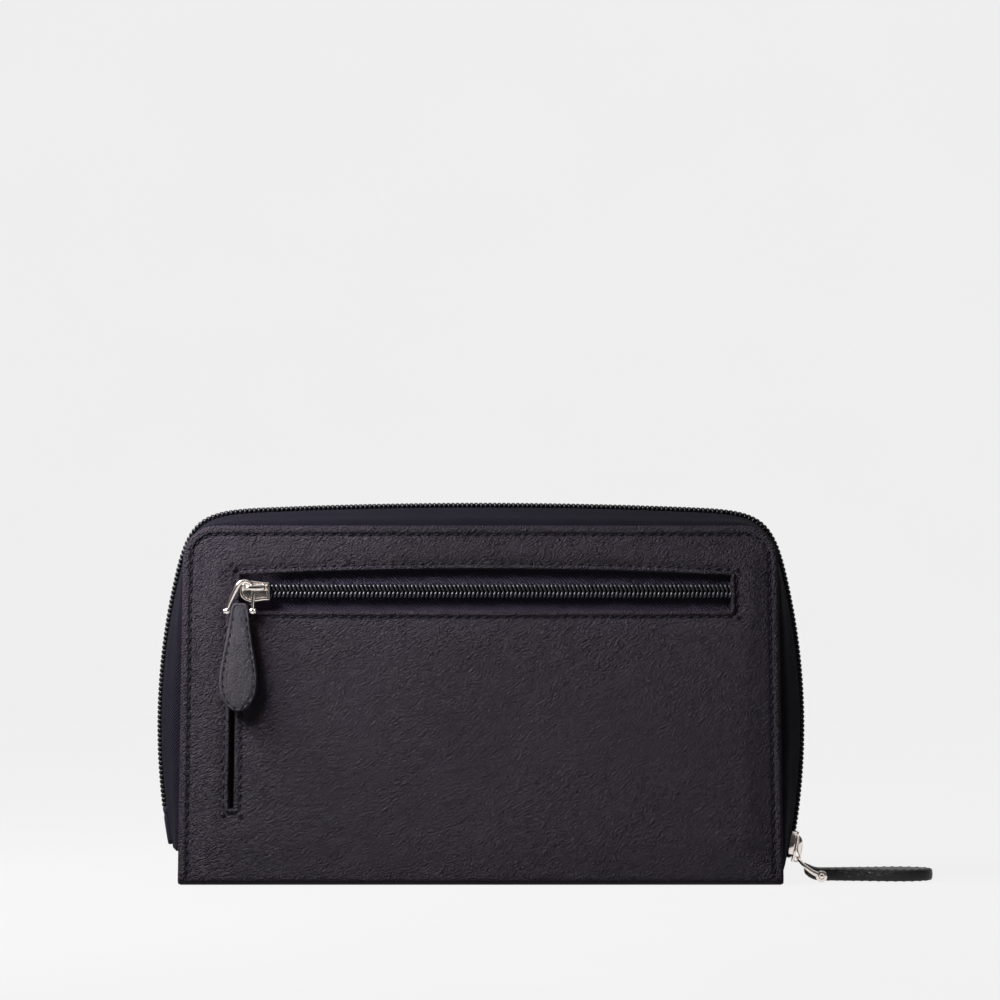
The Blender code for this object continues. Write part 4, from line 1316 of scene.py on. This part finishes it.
def pocket_relief(top):
    def relief(x, z):
        down = top - z
        band = 0.1 * (1.0 - ease((down - 1.9) / 0.5))
        lip = -0.22 * (1.0 - ease(down / 0.5))
        seam = dip(down - 2.3, 0.1, 0.3) + dip(abs(x), 0.12, 0.5)
        seam += dip(POCKET_HALF - 2.0 - abs(x), 0.1, 0.4)
        swell = 0.06 * math.sin(math.pi * min(abs(x) / POCKET_HALF, 1.0)) * ease(down / 12.0)
        return band + lip + seam + swell
    return relief


for word, side in (("front", -1), ("back", 1)):
    lining = inside_panel(f"{word}_lining_cloth", HIDE_HALF - 1.6, 5.1, HIDE_TOP - 1.3, 8.7, (7.95, 8.3),
                          side, lining_relief, lining_cloth)
    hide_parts(f"{word}_lining")
    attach(lining, word)
    rows = []
    for i, (top, (face, back)) in enumerate(zip(POCKET_TOPS, POCKET_LAYERS)):
        stops = [("z", top - d) for d in (0.25, 0.5, 1.2, 1.9, 2.15, 2.3, 2.45, 2.9, 4.0)]
        across = (0.0, 0.35, 0.8, POCKET_HALF - 1.6, POCKET_HALF - 2.0, POCKET_HALF - 2.4)
        stops += [("x", s * d) for d in across for s in (-1, 1)]
        pocket = inside_panel(f"{word}_card_leather_{i + 1}", POCKET_HALF, POCKET_FOOT, top, 0.0,
                              (face + 0.1, back), side, pocket_relief(top), pocket_hide, stops=stops,
                              step=5.0)
        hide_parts(f"{word}_card_pocket_{i + 1}")
        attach(pocket, word)
        y = side * (face + 0.06)
        below = POCKET_TOPS[i + 1] + 0.8 if i < 3 else POCKET_FOOT + 2.0
        rows.append([(x, y, top - 2.3) for x in np.linspace(1.5 - POCKET_HALF, POCKET_HALF - 1.5, 60)])
        rows.append([(0.0, y, z) for z in np.linspace(below, top - 3.2, 12)])
    seams = repeat_along(f"{word}_pocket_stitches", rows, 2.6, (0, -side, 0), tab_stitch, navy_thread)
    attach(seams, word)

hidden_sheets = (
    ("slip_pocket_backing", -84.0, 30.0, 14.0, 76.6, (11.3, 10.95)),
    ("zip_pocket_front_ply", -79.0, 79.0, 12.0, 84.0, (10.6, 10.3)),
    ("zip_pocket_back_ply", -79.0, 79.0, 12.0, 99.0, (9.7, 9.4)),
)
for node, x0, x1, foot, top, levels in hidden_sheets:
    middle = (x0 + x1) / 2
    ply = inside_panel(f"{node}_cloth", (x1 - x0) / 2, foot, top, 0.0, levels, -1, lambda x, z: 0.0,
                       lining_cloth, step=6.0)
    ply.data.transform(Matrix.Translation((middle * MM, 0.0, 0.0)))
    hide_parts(node)
    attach(ply, "front")


# ---- Boards, padding and spine lining --------------------------------------------------------
# A thin board stiffens each cover and the spine. A sheet of foam fills out the back cover, and
# a strip of the lining cloth covers the spine board between the two covers.
def board_finish(name, dark, light):
    material, tree, shader, place = start_finish(name, 0.9, 0.5)
    fibre = add_noise(tree, place.outputs["Object"], 600.0, 5.0).outputs["Fac"]
    add_tone(tree, fibre, shader.inputs["Base Color"], (0.0, dark), (1.0, light))
    add_bump(tree, fibre, shader, 0.4, 0.00005)
    return material


grey_board = board_finish("grey_board", (0.22, 0.2, 0.18), (0.34, 0.32, 0.29))
grey_foam = board_finish("grey_foam", (0.24, 0.24, 0.25), (0.36, 0.36, 0.37))
for node in ("front_stiffener", "back_stiffener", "spine_board"):
    board = frame["nodes"][node]
    board.data.materials.clear()
    board.data.materials.append(grey_board)


FOAM_HALF = HIDE_HALF - 6.8
FOAM_TOP = HIDE_TOP - 6.5
FOAM_FOOT = 6.5


def foam_relief(x, z):
    edge = min(FOAM_HALF - abs(x), FOAM_TOP - z, z - FOAM_FOOT)
    return 0.12 - 0.7 * (1.0 - ease(edge / 2.5))


foam = inside_panel("back_foam", FOAM_HALF, FOAM_FOOT, FOAM_TOP, 4.0, (11.15, 9.4), 1, foam_relief, grey_foam)
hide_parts("back_padding")
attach(foam, "back")
SPINE_HALF = 88.4
sections = [[Vector((x, y, 3.1 + 0.08 * math.sin(x * 0.2))) for y in np.linspace(-9.7, 9.7, 9)]
            for x in np.linspace(-SPINE_HALF, SPINE_HALF, 60)]
spine_cloth = cloth_strip("spine_lining_cloth", sections, np.linspace(0.0, 2 * SPINE_HALF, 60), 0.35,
                          lining_cloth, True)
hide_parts("spine_lining")
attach(spine_cloth, "back")


# ---- Side gussets ----------------------------------------------------------------------------
# A thin leather panel joins the two covers at each side. It folds inwards when the wallet shuts,
# which is what stops the covers opening flat and the cards falling out.
GUSSET_HALF_LINE = (
    (88.0, -7.75), (87.95, -6.0), (87.6, -4.9), (86.2, -4.55), (80.0, -4.25), (73.2, -3.95), (72.3, -3.72),
    (73.2, -3.5), (78.0, -3.38), (81.2, -3.2), (82.3, -2.3), (82.0, -1.0), (81.3, 0.0),
)


def make_gusset(name, mirror):
    half_line = [Vector(p) for p in GUSSET_HALF_LINE]
    line = soft_curve(half_line + [Vector((p.x, -p.y)) for p in reversed(half_line[:-1])], 3)
    sections = []
    heights = lines_between([5.6, 91.0, 92.0, 93.2, 94.0], 4.0)
    for z in heights:
        draw = 0.25 * math.sin(z * 0.21) + 0.35 * ease((z - 80.0) / 14.0)
        sections.append([Vector((mirror * (p.x - draw * (1.0 - (p.y / 8.0) ** 2)), p.y, z)) for p in line])
    gusset = cloth_strip(name, sections, [z - 5.6 for z in heights], 0.28, pocket_hide, mirror > 0)
    width = sum((b - a).length for a, b in zip(line[:-1], line[1:]))
    return gusset, width


for word, mirror in (("left", -1), ("right", 1)):
    gusset, width = make_gusset(f"gusset_{word}_leather", mirror)
    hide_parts(f"gusset_front_{word}", f"gusset_back_{word}")
    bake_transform(gusset)


# ---- Coin pouch ------------------------------------------------------------------------------
# A flat zipped purse stands between the card pockets, fixed only along the spine. Two thin
# leather walls with a narrow cloth strip between them, and its own small zip along the top.
POUCH_HALF = 80.0
POUCH_TOP = 92.0
POUCH_COIL_Z = 93.9


def pouch_relief(x, z):
    down = POUCH_TOP - z
    band = 0.08 * (1.0 - ease((down - 2.0) / 0.5))
    lip = -0.25 * (1.0 - ease(down / 0.5))
    seam = dip(down - 2.4, 0.1, 0.3) + dip(POUCH_HALF - 2.2 - abs(x), 0.1, 0.4)
    side_edge = -0.2 * (1.0 - ease((POUCH_HALF - abs(x)) / 0.5))
    return band + lip + seam + side_edge


pouch_stops = [("z", POUCH_TOP - d) for d in (0.25, 0.5, 1.2, 2.0, 2.25, 2.4, 2.55, 3.0, 4.5)]
pouch_stops += [("x", s * (POUCH_HALF - d)) for d in (0.25, 0.5, 1.3, 1.9, 2.2, 2.5, 3.2) for s in (-1, 1)]
TAPE_HALF = 77.4
for word, side in (("front", -1), ("back", 1)):
    wall = inside_panel(f"pouch_{word}_leather", POUCH_HALF, 6.6, POUCH_TOP, 0.0, (2.9, 2.4), side,
                        pouch_relief, pocket_hide, stops=pouch_stops, step=5.0)
    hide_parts(f"pouch_{word}_wall")
    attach(wall, "coin_pouch")
    seam_side = POUCH_HALF - 2.2
    y = side * 2.93
    seam_line = [(-seam_side, y, z) for z in np.linspace(9.0, POUCH_TOP - 2.4, 30)]
    seam_line += [(x, y, POUCH_TOP - 2.4) for x in np.linspace(-seam_side, seam_side, 50)[1:-1]]
    seam_line += [(seam_side, y, z) for z in np.linspace(POUCH_TOP - 2.4, 9.0, 30)]
    seams = repeat_along(f"pouch_{word}_stitches", [seam_line], 2.6, (0, side, 0), tab_stitch, navy_thread)
    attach(seams, "coin_pouch")
    profile = [(1.93, 84.2), (1.93, 88.0), (1.93, 91.0), (1.86, 92.1), (1.6, 92.55), (1.25, 92.7),
               (0.9, 92.72)]
    sections = [[Vector((x, side * a, b)) for a, b in profile]
                for x in np.linspace(-TAPE_HALF, TAPE_HALF, 80)]
    tape = cloth_strip(f"pouch_tape_{word}_cloth", sections, np.linspace(0.0, 2 * TAPE_HALF, 80), 0.3,
                       navy_tape, side > 0)
    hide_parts(f"pouch_tape_{word}")
    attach(tape, "coin_pouch")
    turn = make_turn(f"pouch_turn_{word}", 1.5, 0.44, 0.29, 0.28 * side, nylon)
    path = [(x, 0.0, POUCH_COIL_Z) for x in np.linspace(-68.6, 75.8, 60)]
    coil = repeat_along(f"pouch_coil_{word}_turns", [path], 1.2, (0, side, 0), turn, nylon)
    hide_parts(f"pouch_coil_{word}")
    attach(coil, "coin_pouch")
sections = [[Vector((x, y, 6.9 + 0.12 * (y / 2.1) ** 2)) for y in np.linspace(-2.1, 2.1, 7)]
            for x in np.linspace(-79.4, 79.4, 40)]
base = cloth_strip("pouch_base_cloth", sections, np.linspace(0.0, 158.8, 40), 0.35, lining_cloth, True)
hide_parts("pouch_base")
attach(base, "coin_pouch")
for word, mirror in (("left", -1), ("right", 1)):
    sections = [[Vector((mirror * (79.4 - 0.5 * (1 - (y / 2.1) ** 2)), y, z))
                 for y in np.linspace(-2.1, 2.1, 7)] for z in np.linspace(7.6, 92.0, 30)]
    strip = cloth_strip(f"pouch_side_{word}_cloth", sections, np.linspace(0.0, 84.4, 30), 0.3,
                        lining_cloth, mirror > 0)
    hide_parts(f"pouch_side_{word}")
    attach(strip, "coin_pouch")


# ---- Floor and light -------------------------------------------------------------------------
# A plain pale sweep: level under the wallet, curving up a long way behind it.
def make_sweep(finish):
    profile = [(-0.6, 0.0), (0.9, 0.0)]
    for i in range(1, 13):
        angle = math.pi / 2 * i / 12
        profile.append((0.9 + 0.6 * math.sin(angle), 0.6 - 0.6 * math.cos(angle)))
    profile.append((1.5, 3.0))
    points = [(side * 4.0, y, z) for y, z in profile for side in (-1, 1)]
    faces = [(2 * i, 2 * i + 1, 2 * i + 3, 2 * i + 2) for i in range(len(profile) - 1)]
    return add_piece("floor_sweep", points, faces, finish)


PAPER_GLOW = 0.985


def paper_finish():
    material, tree, shader, place = start_finish("pale_paper", 1.0, 0.0)
    fibre = add_noise(tree, place.outputs["Object"], 9.0, 2.0).outputs["Fac"]
    add_tone(tree, fibre, shader.inputs["Emission Color"], (0.0, [0.86] * 3), (1.0, [0.875] * 3))
    shader.inputs["Base Color"].default_value = (0.02, 0.02, 0.02, 1.0)
    shader.inputs["Emission Strength"].default_value = PAPER_GLOW
    return material


paper = paper_finish()
sweep = make_sweep(paper)
apron = add_piece("floor_apron", [(-4, -6, 0), (4, -6, 0), (4, -0.6, 0), (-4, -0.6, 0)],
                  [(0, 1, 2, 3)], paper)
apron.visible_glossy = False
for sheet in (sweep, apron):
    sheet.visible_diffuse = False


def soft_lamp(name, place, aim, width, height, power):
    lamp = bpy.data.lights.new(name, "AREA")
    lamp.shape = "RECTANGLE"
    lamp.size = width
    lamp.size_y = height
    lamp.energy = power
    rig = bpy.data.objects.new(name, lamp)
    rig.location = place
    rig.rotation_euler = (Vector(aim) - Vector(place)).to_track_quat("-Z", "Y").to_euler()
    bpy.context.scene.collection.objects.link(rig)
    return rig


soft_lamp("key_panel", (-0.27, -0.115, 0.32), (-0.06, 0.0, 0.08), 0.18, 0.14, 5.6)
soft_lamp("top_panel", (-0.1, -0.12, 1.0), (0.0, 0.0, 0.05), 0.7, 0.4, 1.2)
world = bpy.data.worlds.new("pale_room")
bpy.context.scene.world = world
world.use_nodes = True
air = world.node_tree
sky = air.nodes["Background"]
toward = air.nodes.new("ShaderNodeTexCoord")
parts = air.nodes.new("ShaderNodeSeparateXYZ")
air.links.new(toward.outputs["Generated"], parts.inputs["Vector"])
fade = air.nodes.new("ShaderNodeValToRGB")
fade.color_ramp.elements[0].position = 0.0
fade.color_ramp.elements[0].color = (0.09, 0.09, 0.09, 1.0)
fade.color_ramp.elements[1].position = 0.9
fade.color_ramp.elements[1].color = (0.42, 0.42, 0.42, 1.0)
air.links.new(parts.outputs["Z"], fade.inputs["Fac"])
air.links.new(fade.outputs["Color"], sky.inputs["Color"])
behind = add_node(air, "ShaderNodeMapRange", in_1=-1.0, in_2=0.3, in_3=0.25, in_4=1.0)
air.links.new(parts.outputs["Y"], behind.inputs["Value"])
air.links.new(behind.outputs["Result"], sky.inputs["Strength"])

camera_data = bpy.data.cameras.new("front_camera")
camera_data.lens = 130.4
camera_data.sensor_width = 36.0
camera_data.clip_end = 20.0
camera = bpy.data.objects.new("front_camera", camera_data)
camera.location = (0.0058, -1.1, 0.1157)
camera.rotation_euler = (math.pi / 2, 0.0, 0.0)
bpy.context.scene.collection.objects.link(camera)
bpy.context.scene.camera = camera
bpy.context.scene.view_settings.view_transform = "Standard"
